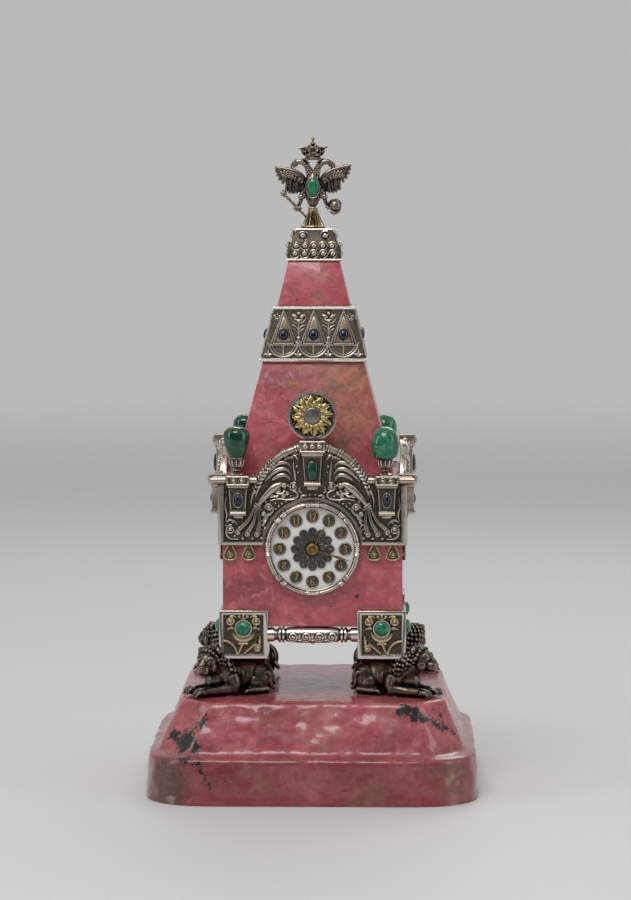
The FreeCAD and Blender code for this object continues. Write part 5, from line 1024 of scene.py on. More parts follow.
def band_relief():
    form = Form()
    for x in (-BAND_PITCH, 0.0, BAND_PITCH):
        for half, foot, tip, thick, y in ((5.75, 7.7125, 23.6, 0.36, -0.2), (4.5, 8.15, 23.0, 0.32, -0.68)):
            for side in (-1, 1):
                rod(form, (x + side * half, foot), (x, tip), y, thick)
            rod(form, (x - half, foot), (x + half, foot), y, thick)
        tube(form, arc(x, 8.9, 6.6, 180, 360, -0.2, 24), 0.6, up=OUT)
        tube(form, arc(x, 8.9, 5.4, 188, 352, -0.1, 24), 0.24, up=OUT)
        rod(form, (x, 7.9), (x, 2.8), -0.2, 0.5)
        loop(form, x, 12.5, 2.35, 2.85, -0.75, 0.17)
    for x, scale in ((-BAND_PITCH / 2, 1.0), (BAND_PITCH / 2, 1.0), (-16.2, 0.6), (16.2, 0.6)):
        lotus(form, x, 21.0, scale)
    for x in (-BAND_PITCH / 2, BAND_PITCH / 2):
        rod(form, (x, 18.2), (x, 11.0), -0.2, 0.32)
        for side in (-1, 1):
            leaf = ((x, 14.2), (x + side * 0.9, 15.8), (x + side * 2.0, 16.6), (x + side * 2.9, 16.7))
            line(form, leaf, -0.2, taper(0.4, 0.3))
            line(form, ((x, 12.8), (x + side * 1.3, 14.6), (x + side * 2.5, 15.3)), -0.15, taper(0.3, 0.22))
            line(form, ((x, 10.6), (x + side * 0.4, 9.6), (x + side * 0.9, 8.4)), -0.2, taper(0.34, 0.5))
        ball(form, at(x, -0.35, 11.0), (0.95, 0.75, 0.95), rings=10, sides=14)
    for x in (-3 * BAND_PITCH / 2, -BAND_PITCH / 2, BAND_PITCH / 2, 3 * BAND_PITCH / 2):
        for lean in (-1, 0, 1):
            leaf = ((x, 2.4), (x + lean, 3.6 - 0.2 * abs(lean)), (x + lean * 2.0, 5.9 - 2.2 * abs(lean)))
            line(form, leaf, -0.25, leaf_width(0.7, 0.1, 0.8), 0.8, steps=5)
    return laid_on_band(form)


def band_ground(margin=1.1, inset=1.2):
    form = Form()
    low, high = inset, BAND_LENGTH - inset
    low_half, high_half = (BAND_FACE - s * math.sin(BAND_LEAN) - margin for s in (low, high))
    plate(form, ((-low_half, low), (low_half, low), (high_half, high), (-high_half, high)), 0.0, 0.08)
    return laid_on_band(form)


def band_gilt():
    form = Form()
    for x in (-BAND_PITCH, 0.0, BAND_PITCH):
        plate(form, ((x - 2.9, 9.3), (x + 2.9, 9.3), (x, 19.6)), 0.0, 0.72, -0.4)
    return laid_on_band(form)


def band_gems():
    form = Form()
    for x in (-BAND_PITCH, 0.0, BAND_PITCH):
        domed(form, at(x, -0.6, 12.5), 2.15, 2.65, 1.7)
    return laid_on_band(form)


# Square rolls along the edges of the band and the cap: half width, level and thickness
BAND_RIMS = ((23.6, 191.45, 0.85), (17.7, 214.5, 0.85))
CAP_RIMS = ((12.1, 236.0, 0.55), (8.1, 249.5, 0.5))


def square_rolls(rows):
    form = Form()
    for half, z, thick in rows:
        corners = [at(sx * half, sy * half, z) for sx, sy in ((1, -1), (1, 1), (-1, 1), (-1, -1))]
        for a, b in zip(corners, corners[1:] + corners[:1]):
            tube(form, [a, b], thick, sides=10)
            ball(form, a, thick)
    return form


# Rows of beads with a curl round each
def cap_relief():
    form = Form()
    for z, y, reach in ((238.5, -11.9, 8.5), (242.0, -11.6, 8.0)):
        for i in range(5):
            x = reach * (i - 2) / 2
            ball(form, at(x, y - 0.05, z + 0.2), (1.25, 1.0, 1.25), rings=10, sides=16)
            tube(form, curl(x, z, 1.95, 1.75, 190, 0.75 if i < 2 else -0.75, y), taper(0.46, 0.26), up=OUT)
    for side in (-1, 1):
        ball(form, at(side * 5.0, -9.7, 246.6), (1.35, 1.0, 1.35), rings=10, sides=16)
        tube(form, curl(side * 5.0, 246.5, 2.4, 1.9, 60, side * 1.0, -9.5), taper(0.48, 0.28), up=OUT)
    return form


# Rail: rings, a thin neck and a swelling barrel with coils along it. The shares are of its half length and radius
RAIL_SHARES = (
    (1.00, 0.90), (0.86, 0.90), (0.85, 0.74), (0.83, 0.74), (0.82, 0.66), (0.79, 0.66), (0.77, 0.84), (0.74, 0.98),
    (0.71, 0.98), (0.70, 0.72), (0.69, 0.72), (0.67, 1.00), (0.63, 1.00), (0.62, 0.74), (0.60, 0.74), (0.57, 0.90),
    (0.48, 0.97), (0.30, 1.03), (0.00, 1.06),
)
RAIL_R = 3.5
RAIL_Z = 70.25
RAIL_Y = -38.0
RAIL_BARREL_R = RAIL_R * 1.05
RAIL_COILS = 4
RAIL_COIL_PITCH = 5.8


def wrapped(flat, radius):
    for p in flat.points:
        angle = p.z / RAIL_R - 0.15
        reach = radius - p.y
        p.y, p.z = RAIL_Y - reach * math.cos(angle), RAIL_Z + reach * math.sin(angle)


def rail():
    form = Form()
    half = BLOCK_LOW.x
    profile = [(r * RAIL_R, x * half) for x, r in RAIL_SHARES]
    profile += [(r, -x) for r, x in reversed(profile[:-1])]
    lathe(form, profile, at(0, RAIL_Y, RAIL_Z), at(1, 0, 0), sides=40)
    coils = Form()
    for i in range(RAIL_COILS):
        x = RAIL_COIL_PITCH * (i - (RAIL_COILS - 1) / 2)
        tube(coils, curl(x, -0.2, 2.35, 0.8, 200, 1.5, 0.0), taper(0.5, 0.36), up=OUT)
        ball(coils, at(x, -0.05, -0.2), (0.66, 0.45, 0.66))
        if i < RAIL_COILS - 1:
            line(coils, ((x + 1.9, -1.6), (x + 2.9, -1.9), (x + 4.0, -1.7)), 0.0, taper(0.3, 0.2), steps=5)
    wrapped(coils, RAIL_BARREL_R)
    form.joined(coils)
    ball(form, at(0, RAIL_Y, RAIL_Z - RAIL_BARREL_R), (0.9, 0.9, 0.7))
    return form


# Thin dark discs behind the coils
def rail_field(radius=2.45, rings=4, sides=24, thick=0.3):
    form = Form()
    for i in range(RAIL_COILS):
        centre = at(RAIL_COIL_PITCH * (i - (RAIL_COILS - 1) / 2), 0.0, -0.2)
        rows = [(0.0, j) for j in range(1, rings + 1)] + [(thick, j) for j in range(rings, 0, -1)]
        points = []
        for depth, j in rows:
            for k in range(sides):
                points.append(centre + at(0, depth, 0) + spoke(FULL * k / sides, radius * j / rings))
        form.add(points + [centre, centre + at(0, thick, 0)], skin(2 * rings, sides))
    wrapped(form, RAIL_BARREL_R + 0.14)
    return form


# Couchant lion: head towards +X, feet at 0
LION_YAW = 27.0
LION_X = 30.65
LION_NECK = Vector((14.5, 0, 13.5))
# Rings of curls, the first one round the face: place x and z, half width, half height, count and size of the curls
MANE_RINGS = (
    (18.4, 16.8, 4.7, 5.2, 19, 0.88), (17.0, 15.8, 5.0, 5.8, 20, 0.85), (15.6, 15.0, 5.7, 6.6, 22, 0.9),
    (14.0, 14.2, 6.1, 7.0, 23, 0.95), (12.4, 13.4, 6.4, 7.3, 23, 0.95), (10.8, 12.6, 6.6, 7.5, 23, 0.95),
    (9.2, 11.8, 6.7, 7.6, 22, 0.9),
)


def turned_head(yaw, pitch):
    turn = Matrix.Rotation(math.radians(yaw), 4, "Z") @ Matrix.Rotation(math.radians(pitch), 4, "Y")
    return Matrix.Translation(LION_NECK) @ turn @ Matrix.Translation(-LION_NECK)


def lion_head(form, details):
    ball(form, at(20.0, 0, 17.2), (4.9, 4.7, 4.6), rings=12, sides=20)
    ball(form, at(24.2, 0, 14.9), (3.7, 3.1, 2.5), rings=12, sides=20)
    ball(form, at(26.3, 0, 16.0), (1.3, 1.6, 1.05))
    limb(form, ((21.0, 0, 20.0), (23.6, 0, 18.3), (26.2, 0, 16.6)), (1.7, 1.4, 1.2))
    ball(form, at(23.8, 0, 12.2), (2.9, 2.3, 1.2), rings=10, sides=16)
    for s in (-1, 1):
        ball(form, at(25.3, s * 1.6, 14.2), (1.8, 1.6, 1.5))
        ball(form, at(21.2, s * 3.4, 14.8), (2.4, 1.6, 2.4))
        limb(form, ((20.6, s * 3.9, 18.2), (22.3, s * 3.1, 19.5), (24.0, s * 1.5, 18.7)), (0.65, 0.9, 0.65))
        ball(form, at(17.4, s * 4.4, 20.9), (1.3, 1.5, 1.8))
        ball(details, at(23.4, s * 2.35, 17.6), (0.75, 0.8, 0.6))
        tube(details, smooth(((22.2, s * 3.3, 17.9), (23.3, s * 3.0, 18.35), (24.2, s * 2.0, 18.0)), steps=5), 0.28)
        tube(details, smooth(((22.3, s * 3.25, 17.1), (23.3, s * 2.95, 16.9), (24.2, s * 2.0, 17.1)), steps=5), 0.22)
        ball(details, at(27.3, s * 0.8, 15.6), (0.42, 0.5, 0.38))
        for k in range(3):
            ball(details, at(26.1 - 0.5 * k, s * (2.25 + 0.38 * k), 14.7 - 0.35 * k), 0.24, rings=5, sides=6)


def lion_mane(form, yaw, pitch):
    limb(form, ((9.6, 0, 12.2), (13.0, 0, 14.0), (16.2, 0, 15.6)), (7.2, 6.2, 5.0), sides=20)
    for row, (x, z, half_w, half_h, count, bead) in enumerate(MANE_RINGS):
        turn = turned_head(yaw * (1.0 - 0.17 * row), pitch * max(0.0, 1.0 - 0.3 * row))
        for i in range(count):
            a = FULL * (i + 0.5 * (row % 2)) / count
            stray = noise.noise(at(row * 3.1, i * 1.7, 5.0))
            place = at(x + 2.2 * math.sin(a) + 0.5 * stray, half_w * math.cos(a), z + half_h * math.sin(a))
            if place.z >= 1.8:
                out = at(0.2, math.cos(a), math.sin(a)).normalized()
                ball(form, turn @ place + out * 0.35, bead * (1.0 + 0.35 * stray), rings=7, sides=10)


def lion(head_yaw, head_pitch):
    form, details = Form(), Form()
    turn = turned_head(head_yaw, head_pitch)
    ball(form, at(-0.5, 0, 8.6), (12.8, 6.2, 7.4), rings=16, sides=24)
    ball(form, at(8.5, 0, 9.0), (8.0, 6.9, 7.8), rings=16, sides=24)
    limb(form, ((-9, 0, 12.6), (0, 0, 14.2), (9, 0, 15.2)), (2.8, 2.4, 2.8))
    limb(form, ((10, 0, 10.5), (14, 0, 13), turn @ at(17.5, 0, 15.8)), (7.2, 6.2, 5.0))
    ball(form, at(14.6, 0, 7.4), (4.6, 5.2, 6.4), rings=12, sides=18)
    for s in (-1, 1):
        ball(form, at(9.0, s * 4.3, 8.6), (4.4, 3.0, 6.4), rings=12, sides=18)
        limb(form, ((8.6, s * 5.0, 9.0), (7.6, s * 5.7, 5.6), (8.6, s * 5.8, 3.2)), (3.4, 3.1, 2.8))
        foreleg = ((7.6, s * 5.8, 3.0), (11, s * 5.8, 2.9), (16, s * 5.5, 2.5), (22.0, s * 5.1, 2.2))
        limb(form, foreleg, (2.9, 2.6, 2.2, 2.2))
        ball(form, at(23.2, s * 5.1, 2.2), (3.0, 2.9, 2.1), rings=10, sides=16)
        for k in range(4):
            y = s * 5.1 + (k - 1.5) * 1.35
            limb(form, ((22.6, y, 3.0), (24.9, y, 2.5), (26.0, y, 1.1)), (0.95, 1.0, 0.7), sides=8)
            ball(details, at(26.6, y, 0.75), (0.5, 0.32, 0.42), rings=6, sides=8)
        ball(form, at(-6.4, s * 4.1, 7.2), (6.2, 3.7, 6.6), rings=14, sides=20)
        ball(form, at(-4.0, s * 5.6, 5.4), (4.2, 2.2, 3.9), rings=12, sides=18)
        limb(form, ((-8.4, s * 6.0, 2.1), (-2.5, s * 6.5, 1.9), (1.0, s * 6.4, 1.9)), (2.1, 2.0, 2.1))
        for k in range(4):
            y = s * 6.3 + (k - 1.5) * 1.1
            limb(form, ((0.4, y, 2.3), (2.4, y, 1.9), (3.3, y, 0.9)), (0.85, 0.85, 0.55), sides=8)
        for k in range(3):
            x = 3.4 - 2.0 * k
            rib = ((x + 0.6, s * 3.9, 12.6), (x, s * 5.85, 9.4), (x + 0.4, s * 5.5, 6.2))
            limb(form, rib, (0.2, 0.42, 0.2), sides=6)
    tail = ((-12.2, 0, 6.0), (-13.4, -2.0, 3.4), (-11.8, -5.4, 2.4), (-9.6, -7.1, 4.4), (-9.2, -7.2, 7.6))
    limb(form, tail, (1.3, 1.05, 0.95, 0.85, 0.9))
    limb(form, ((-9.3, -7.1, 7.4), (-8.2, -7.2, 9.6), (-6.2, -7.0, 9.4)), (1.0, 1.2, 0.6))
    lion_mane(form, head_yaw, head_pitch)
    head, face = Form(), Form()
    lion_head(head, face)
    form.joined(head, turn)
    details.joined(face, turn)
    place = Matrix.Translation((LION_X, -LION_X, PLINTH_TOP + 0.02)) @ Matrix.Rotation(-math.radians(LION_YAW), 4, "Z")
    return placed(form, place), placed(details, place)


# Two lions look along the side, and two look outward
def lions():
    side_on = lion(0.0, 4.0)
    facing = [form.mirrored() for form in lion(-36.0, 12.0)]
    for corner, pair, turn in (("front_right", side_on, 0), ("front_left", facing, 0),
                               ("rear_left", side_on, 2), ("rear_right", facing, 2)):
        body, details = (placed(form, turned_side(turn)) if turn else form for form in pair)
        moulded(body, "silver_lion_" + corner, DARK_SILVER, 0.28, 2, ("lion_" + corner,))
        finished(details, "lion_face_" + corner, DARK_SILVER)


# Two-headed eagle, drawn from its own axis above the collar
EAGLE_X = -0.7
COLLAR = span("bell_foot")[1].z
WING_ARM = ((2.4, 10.0), (4.4, 12.6), (6.6, 14.8), (9.0, 16.0), (11.6, 16.7), (14.2, 17.2), (16.4, 17.6))
INNER_FEATHERS = (
    ((4.0, 11.6), (4.3, 9.4), (5.0, 7.4)), ((5.3, 12.8), (5.6, 10.0), (6.2, 6.8)),
    ((6.7, 14.0), (7.0, 10.2), (7.5, 6.2)), ((8.2, 14.8), (8.5, 10.6), (9.0, 6.0)),
    ((9.7, 15.2), (10.1, 10.8), (10.5, 6.2)), ((11.1, 15.2), (11.5, 11.2), (12.0, 7.0)),
)
OUTER_FEATHERS = (
    ((11.4, 15.0), (12.8, 12.8), (13.8, 10.4)), ((11.8, 15.4), (13.8, 13.9), (15.3, 12.0)),
    ((12.0, 16.0), (14.4, 15.1), (16.3, 13.9)), ((12.2, 16.6), (14.8, 16.4), (16.9, 15.8)),
    ((12.4, 17.0), (14.8, 17.3), (17.0, 17.5)),
)


# Neck, head, scales and leg of one half
def eagle_half():
    form = Form()
    neck = ((0.6, 0, 12.6), (1.4, -0.2, 15.4), (2.6, -0.3, 18.0), (4.6, -0.4, 20.0), (6.9, -0.4, 20.2),
            (8.4, -0.4, 19.2))
    limb(form, neck, (2.6, 1.8, 1.35, 1.35, 1.4, 1.1))
    limb(form, ((7.6, -0.4, 19.8), (9.3, -0.4, 19.0), (9.8, -0.4, 17.4)), (1.15, 0.75, 0.22))
    limb(form, ((7.4, -0.4, 18.8), (8.4, -0.4, 18.0), (8.8, -0.4, 17.4)), (0.75, 0.5, 0.2))
    spots = smooth(neck, steps=8)
    for k in range(9):
        for drop in (-1, 0, 1):
            shift = at(0.3 * drop, -1.15 + 0.3 * abs(drop), 0.8 * drop)
            ball(form, spots[int((0.1 + 0.085 * k) * 40)] + shift, (0.55, 0.35, 0.45), rings=6, sides=8)
    ball(form, at(7.5, -1.6, 20.2), (0.5, 0.42, 0.42), rings=6, sides=8)
    for k in range(3):
        x, z = 4.6 - 1.0 * k, 21.3 - 0.7 * k
        limb(form, ((5.2 - 0.8 * k, -0.3, 20.4 - 0.5 * k), (x, -0.2, z), (x - 1.3, 0, z)), (0.6, 0.45, 0.15), sides=6)
    limb(form, ((2.4, 0, 7.4), (4.2, -0.2, 5.6), (5.2, -0.4, 4.0)), (2.2, 1.9, 1.35))
    ball(form, at(5.2, -0.8, 4.4), (1.5, 1.3, 1.35), rings=10, sides=14)
    for k in range(3):
        for j in (-1, 0, 1):
            place = at(3.2 + 0.6 * k + 0.7 * j, -1.8 + 0.1 * k, 7.0 - 0.9 * k + 0.35 * j)
            ball(form, place, (0.5, 0.35, 0.6), rings=6, sides=8)
    return form


# A wing: its arm, two rows of feathers with barbs, and small coverts; the right-hand one is raised a little
def wing(side):
    form = Form()
    lift = 0.0 if side < 0 else 0.9

    def spread(places, y):
        return [at(x * side, y, z + lift * (x - 4) / 12) for x, z in places]

    limb(form, spread(WING_ARM, -0.3), (1.2, 1.3, 1.35, 1.2, 1.0, 0.75, 0.4), flat=0.8, up=OUT)
    for k, feather in enumerate(INNER_FEATHERS + OUTER_FEATHERS):
        outer = k >= len(INNER_FEATHERS)
        path = spread(feather, 0.25 * (k % 2))
        limb(form, path, (0.8, 1.12, 0.62) if outer else (0.75, 0.98, 0.7), flat=0.6, sides=12, up=OUT)
        limb(form, [p + OUT * 0.58 for p in path], (0.2, 0.24, 0.12), sides=6)
        reach = path[2] - path[0]
        along = reach.normalized()
        across = at(along.z, 0, -along.x)
        for j in range(4 if outer else 5):
            spot = path[0] + reach * (0.28 + (0.16 if outer else 0.13) * j) + OUT * 0.46
            for lean in (-1, 1):
                limb(form, (spot, spot + across * (0.7 * lean) + along * 0.75 - OUT * 0.22), (0.2, 0.12), sides=5)
    for row, (drop, size) in enumerate(((-0.4, 0.95), (-1.9, 0.9))):
        for k in range(7):
            x = 4.4 + 1.4 * k + 0.7 * row
            z = 13.0 + 0.75 * k + drop if k < 4 else 15.5 + 0.2 * (k - 4) + drop
            ball(form, at(x * side, -0.75 + 0.15 * row, z), (0.85, 0.42, size), sides=10)
    coil = curl(5.4 * side, 11.6, 1.3, 0.35, 0 if side > 0 else 180, 1.3 * side, -1.5)
    tube(form, coil, taper(0.42, 0.3), up=OUT)
    return form


def crown():
    form = Form()
    foot = at(0, -0.2, 0)
    band = ((2.6, 21.0), (3.5, 21.4), (3.7, 21.8), (3.4, 22.2), (3.3, 22.7), (3.6, 23.1), (3.5, 23.6), (2.6, 23.9))
    lathe(form, band, foot, UP, 36)
    cap = ((2.2, 23.6), (3.0, 24.4), (3.3, 25.4), (3.0, 26.3), (2.2, 27.0), (1.2, 27.5), (0.6, 27.7))
    lathe(form, cap, foot, UP, 36)
    for k in range(8):
        a = FULL * (k + 0.5) / 8
        out = at(math.cos(a), math.sin(a), 0)
        path = [foot + out * r + UP * z for r, z in ((3.3, 23.6), (3.45, 25.2), (2.9, 26.6), (1.6, 27.5))]
        tube(form, smooth(path, steps=4), 0.36)
    loop(form, 0, 25.3, 1.45, 1.35, -3.5, 0.36, 32)
    ball(form, foot + UP * 28.3, (1.35, 1.35, 0.85), rings=10, sides=18)
    lathe(form, ((0.45, 28.8), (0.4, 29.8), (0.6, 30.1)), foot, UP, 12)
    ball(form, foot + UP * 30.5, (0.8, 0.8, 0.78))
    for s in (-1, 1):
        upper = ((2.4 * s, 0, 25.6), (4.2 * s, 0, 26.0), (6.7 * s, 0, 26.6 + 0.5 * s))
        lower = ((2.4 * s, 0, 23.2), (4.0 * s, 0, 23.9), (5.3 * s, 0, 25.2))
        limb(form, upper, (1.3, 1.0, 0.14), flat=0.3, sides=12, up=OUT)
        limb(form, lower, (0.9, 0.8, 0.2), flat=0.35, sides=12, up=OUT)
    return form


def eagle():
    form = Form()
    spine = ((0, 0, 15.0), (0, 0.2, 11.5), (0, 0.4, 8.0), (0, 0.4, 4.4), (0, 0.2, 1.2), (0, 0, -0.2))
    limb(form, spine, (2.4, 3.9, 4.2, 3.0, 1.7, 1.7), flat=0.78, sides=20)
    for k in range(-3, 4):
        x, back = 0.62 * k, abs(k)
        feather = ((x * 1.9, -1.4 + 0.1 * back, 5.0), (x * 1.3, -1.7 + 0.15 * back, 2.6),
                   (x * 0.85, -1.35 + 0.12 * back, 0.4))
        limb(form, feather, (0.5, 0.45, 0.3), sides=6)
    form.joined(both_halves(eagle_half())).joined(wing(-1)).joined(wing(1)).joined(crown())
    for row in range(3):
        for k in range(5 + row % 2):
            x = 1.15 * (k - 2 - 0.5 * (row % 2))
            ball(form, at(x, -2.1 + 0.1 * abs(x), 14.7 + 0.9 * row), (0.6, 0.4, 0.55), rings=6, sides=8)
    for sign, reach in ((-1, 6.9), (1, 7.6)):
        claw = at(reach * sign, 0, -0.2)
        limb(form, ((5.2 * sign, -0.2, 3.6), (5.9 * sign, 0, 1.6), claw), (1.0, 0.85, 1.1))
        for k in range(4):
            a = math.radians(195 + 45 * k)
            tip = claw + at(2.0 * math.cos(a), -1.3, 1.5 * math.sin(a))
            limb(form, (claw, claw.lerp(tip, 0.6) + at(0, -0.8, 0.3), tip), (0.85, 0.65, 0.22), sides=8)

    # Sceptre in one claw and orb in the other
    ball(form, at(-7.1, -0.4, -0.6), (1.75, 1.4, 1.55), rings=10, sides=16)
    low, high = at(-3.2, -0.8, -4.6), at(-12.4, -0.5, 5.0)
    limb(form, (low, low.lerp(high, 0.5), high), (0.4, 0.6, 0.5))
    for share, thick in ((0.3, 0.75), (0.66, 0.85), (0.86, 0.9)):
        ball(form, low.lerp(high, share), thick)
    for k in range(5):
        a = math.radians(60 + 50 * k)
        limb(form, (high, high + at(1.9 * math.cos(a) - 0.6, 0, 1.7 * math.sin(a) + 1.0)), (0.6, 0.3), sides=6)
    ball(form, high + at(-0.6, 0, 1.0), (1.2, 1.0, 1.2))
    orb = at(9.9, 0, 0.5)
    ball(form, orb, 2.85, rings=14, sides=24)
    roll(form, orb, at(0.15, 0, 1), 2.85, 0.0, 0.3, 0.42, 40)
    tube(form, arc(orb.x, orb.z, 2.95, 10, 170, -0.1), 0.3, up=OUT)
    limb(form, ((12.2, -0.4, -0.6), (11.6, -0.8, -2.2), (9.4, -1.2, -3.1), (7.6, -1.2, -2.2)), (0.5, 0.6, 0.6, 0.3))
    place = Matrix.Translation((EAGLE_X, 0, COLLAR))
    finished(placed(form, place), "silver_eagle", DARK_SILVER, ("eagle",), sharp=60)
    gem, rim = Form(), Form()
    ball(gem, at(0, -2.3, 8.6), (2.85, 2.0, 4.65), rings=20, sides=32)
    for p in gem.points:
        p.x *= 1.0 + 0.02 * (p.z - 8.6)
    finished(placed(gem, place), "emerald_chest", PALE_EMERALD, ("eagle_emerald",))
    loop(rim, 0, 8.6, 2.9, 4.7, -2.5, 0.36, 48)
    finished(placed(rim, place), "silver_chest_rim", SILVER)


# Fluted bell under the eagle
BELL_PROFILE = ((5.45, 1.1), (5.3, 1.4), (4.7, 2.2), (4.1, 3.4), (3.5, 4.8), (2.9, 6.2), (2.3, 7.4), (1.9, 8.0))


def bell():
    foot = at(EAGLE_X, 0, span("bell_foot")[0].z)
    form = Form()
    lathe(form, BELL_PROFILE, foot, UP, sides=144, flutes=18, depth=0.2)
    roll(form, foot, UP, 4.75, 0.65, 0.82, 0.62, 64)
    roll(form, foot, UP, 1.75, 8.2, 0.62, 0.42, 40)
    roll(form, foot, UP, 1.75, 9.1, 0.7, 0.5, 40)
    lathe(form, ((2.0, 7.2), (1.8, 9.7)), foot, UP, 32)
    finished(form, "silver_bell", BRONZED, ("bell_foot",), sharp=50)


# Finial cups and the rough-shaped stones in them
CUP_PLACES = ((-33.4, -42.45), (32.1, -42.45), (-33.2, 42.45), (31.7, 42.45))
# Profiles are radius and height
CUP_STEM = ((3.3, 0.0), (3.48, 0.25), (3.4, 0.7), (2.5, 1.0), (1.5, 1.5), (1.1, 2.2), (1.15, 2.9), (1.8, 3.4))
CUP_BOWL = ((1.8, 3.4), (2.6, 4.1), (3.05, 5.2), (3.2, 6.6), (3.25, 7.9))
STONE_PROFILES = (
    ((2.4, 0.0), (3.4, 0.6), (4.2, 2.0), (4.9, 4.0), (5.4, 6.4), (5.7, 8.8), (5.6, 10.8), (4.9, 12.4), (3.4, 13.6),
     (1.4, 14.1)),
    ((3.3, 0.0), (4.9, 0.7), (5.6, 2.2), (5.9, 4.4), (6.0, 6.8), (5.9, 8.8), (5.5, 10.6), (4.6, 12.2), (3.2, 13.4),
     (1.5, 14.1)),
)


# A cup with a fluted bowl and ribs between the flutes
def cup(origin):
    form = Form()
    lathe(form, CUP_STEM, origin, UP)
    lathe(form, CUP_BOWL, origin, UP, sides=120, flutes=10, depth=0.2)
    roll(form, origin, UP, 2.85, 7.75, 0.42, 0.4)
    roll(form, origin, UP, 1.2, 2.4, 0.4, 0.3, 32)
    for k in range(10):
        a = FULL * (k + 0.5) / 10
        out = at(math.cos(a), math.sin(a), 0)
        path = [origin + out * r + UP * z for r, z in ((1.7, 3.4), (2.6, 4.2), (3.1, 5.5), (3.25, 6.9))]
        tube(form, path, taper(0.2, 0.42), sides=6)
    return form


def finials():
    cups = Form()
    low = span("finial_cups")[0].z
    foot = span("finial_emeralds")[0].z
    for i, (x, y) in enumerate(CUP_PLACES):
        cups.joined(cup(at(x, y, low)))
        stone = Form()
        profile = [(max(0.05, p.x), p.z) for p in smooth(STONE_PROFILES[i % 2], steps=4)]
        lathe(stone, profile, at(x, y, foot), UP, 56)
        for k, p in enumerate(stone.points):
            shift = noise.noise_vector(p * 0.16 + at(7.0 * i, 0, 0))
            fade = min(1.0, (p.z - foot) / 3.0)
            stone.points[k] = p + at(shift.x * 0.5 - 0.1, shift.y * 0.4, shift.z * 0.3) * fade
        replaced = ("finial_emeralds",) if i == 0 else ()
        material = (EMERALD, PALE_EMERALD)[i % 2]
        finished(stone, "emerald_finial_" + CORNERS[i], material, replaced, sharp=75)
    finished(cups, "silver_cups", SILVER, ("finial_cups",), sharp=50)


# Sun disc: gilt flame rays on a dark ground within a silver rim; each ray has a reach, width, lift and bend
SUN = at(0.0, -42.8, 167.9)
SUN_ROOT = 3.7
SUN_RAYS = ((9.4, 1.0, 0.2, 0.55), (8.4, 0.62, 0.45, -0.6), (7.0, 0.72, 0.6, 0.35), (8.9, 0.5, 0.15, -0.3))
SUN_RAY_COUNT = 12


def sun():
    rim, boss, rays = Form(), Form(), Form()
    roll(rim, SUN, OUT, 10.35, 0.3, 0.52, 0.5, 72)
    roll(rim, SUN, OUT, 9.6, 0.1, 0.2, 0.25, 72)
    finished(rim, "silver_sun_rim", SILVER)
    lathe(boss, ((3.6, 0.2), (3.75, 0.7), (3.6, 1.0), (3.1, 1.12), (2.2, 1.3), (1.1, 1.42), (0.05, 1.46)), SUN, OUT)
    finished(boss, "silver_sun_boss", PEWTER, sharp=60)
    for k in range(SUN_RAY_COUNT):
        for ring, (reach, wide, lift, bend) in enumerate(SUN_RAYS):
            a = FULL * (k + 0.25 * ring) / SUN_RAY_COUNT + 0.1
            stray = noise.noise(at(k * 2.3, ring * 5.1, 1.0))
            length = (reach - SUN_ROOT) * (1.0 + 0.16 * stray)
            sway = bend * (1.0 + 0.8 * stray)
            path = []
            for t in (0, 0.25, 0.5, 0.75, 1.0):
                place = SUN + OUT * (lift + 0.35 * math.sin(math.pi * t)) + spoke(a, SUN_ROOT + length * t)
                path.append(place + sideways(a) * (sway * math.sin(math.pi * 1.25 * t)))
            tube(rays, smooth(path, steps=5), leaf_width(wide, 0.12, 0.8), flat=0.8, up=OUT, sides=10)
    for k in range(24):
        ball(rays, SUN + OUT * 0.75 + spoke(FULL * k / 24, 4.15), (0.42, 0.4, 0.42), rings=7, sides=10)
    finished(rays, "gilt_rays", GILT, ("sun_rays",))
    softened("sun_disc", "silver_sun", SILVER, 0.2)


# Bezel: a fluted roll held by ribbon ties
BEZEL_FACE = -44.2
BEZEL_SECTION = (
    (21.0, -4.3), (21.05, -2.8), (21.0, -2.0), (20.8, -1.4), (20.4, -0.9), (19.9, -0.6), (19.5, -0.6), (19.1, -0.8),
    (18.8, -1.2), (18.75, -1.5), (18.5, -1.5), (18.2, -1.7), (18.2, -3.4), (19.0, -4.3),
)
TIE_SECTION = ((21.0, -1.7), (20.4, -0.7), (19.7, -0.3), (19.1, -0.55), (18.6, -1.3))


def bezel():
    form, ties = Form(), Form()
    centre = at(0, BEZEL_FACE, DIAL_Z)
    hoop(form, BEZEL_SECTION, centre, OUT, 160)
    finished(form, "silver_bezel", SILVER, ("bezel",))
    for k in range(8):
        mid = 45.0 * k
        for shift in (-7.6, 7.6) if k % 2 else (-8.0, -6.2, -4.4, -1.3, 1.3, 4.4, 6.2, 8.0):
            a = math.radians(mid + shift)
            tube(ties, smooth([centre + spoke(a, r) + OUT * lift for r, lift in TIE_SECTION], steps=3), 0.38)
        if k % 2:
            for s in (-1, 1):
                for j in range(3):
                    a, b = math.radians(mid + s * (0.6 + 2.0 * j)), math.radians(mid + s * (2.9 + 2.0 * j))
                    places = ((20.9, a, -1.2), (19.7, b, -0.2), (18.7, a, -1.2))
                    path = [centre + spoke(angle, r) + OUT * lift for r, angle, lift in places]
                    tube(ties, smooth(path, steps=4), leaf_width(0.62, 0.16, 1.0))
        else:
            for shift in (-2.85, 0.0, 2.85):
                ball(ties, centre + spoke(math.radians(mid + shift), 19.7) - OUT * 0.3, (0.6, 0.4, 0.6))
    for p in ties.points:
        p.y = max(p.y, BEZEL_FACE - 0.28)
    finished(ties, "bezel_ties", POLISHED)


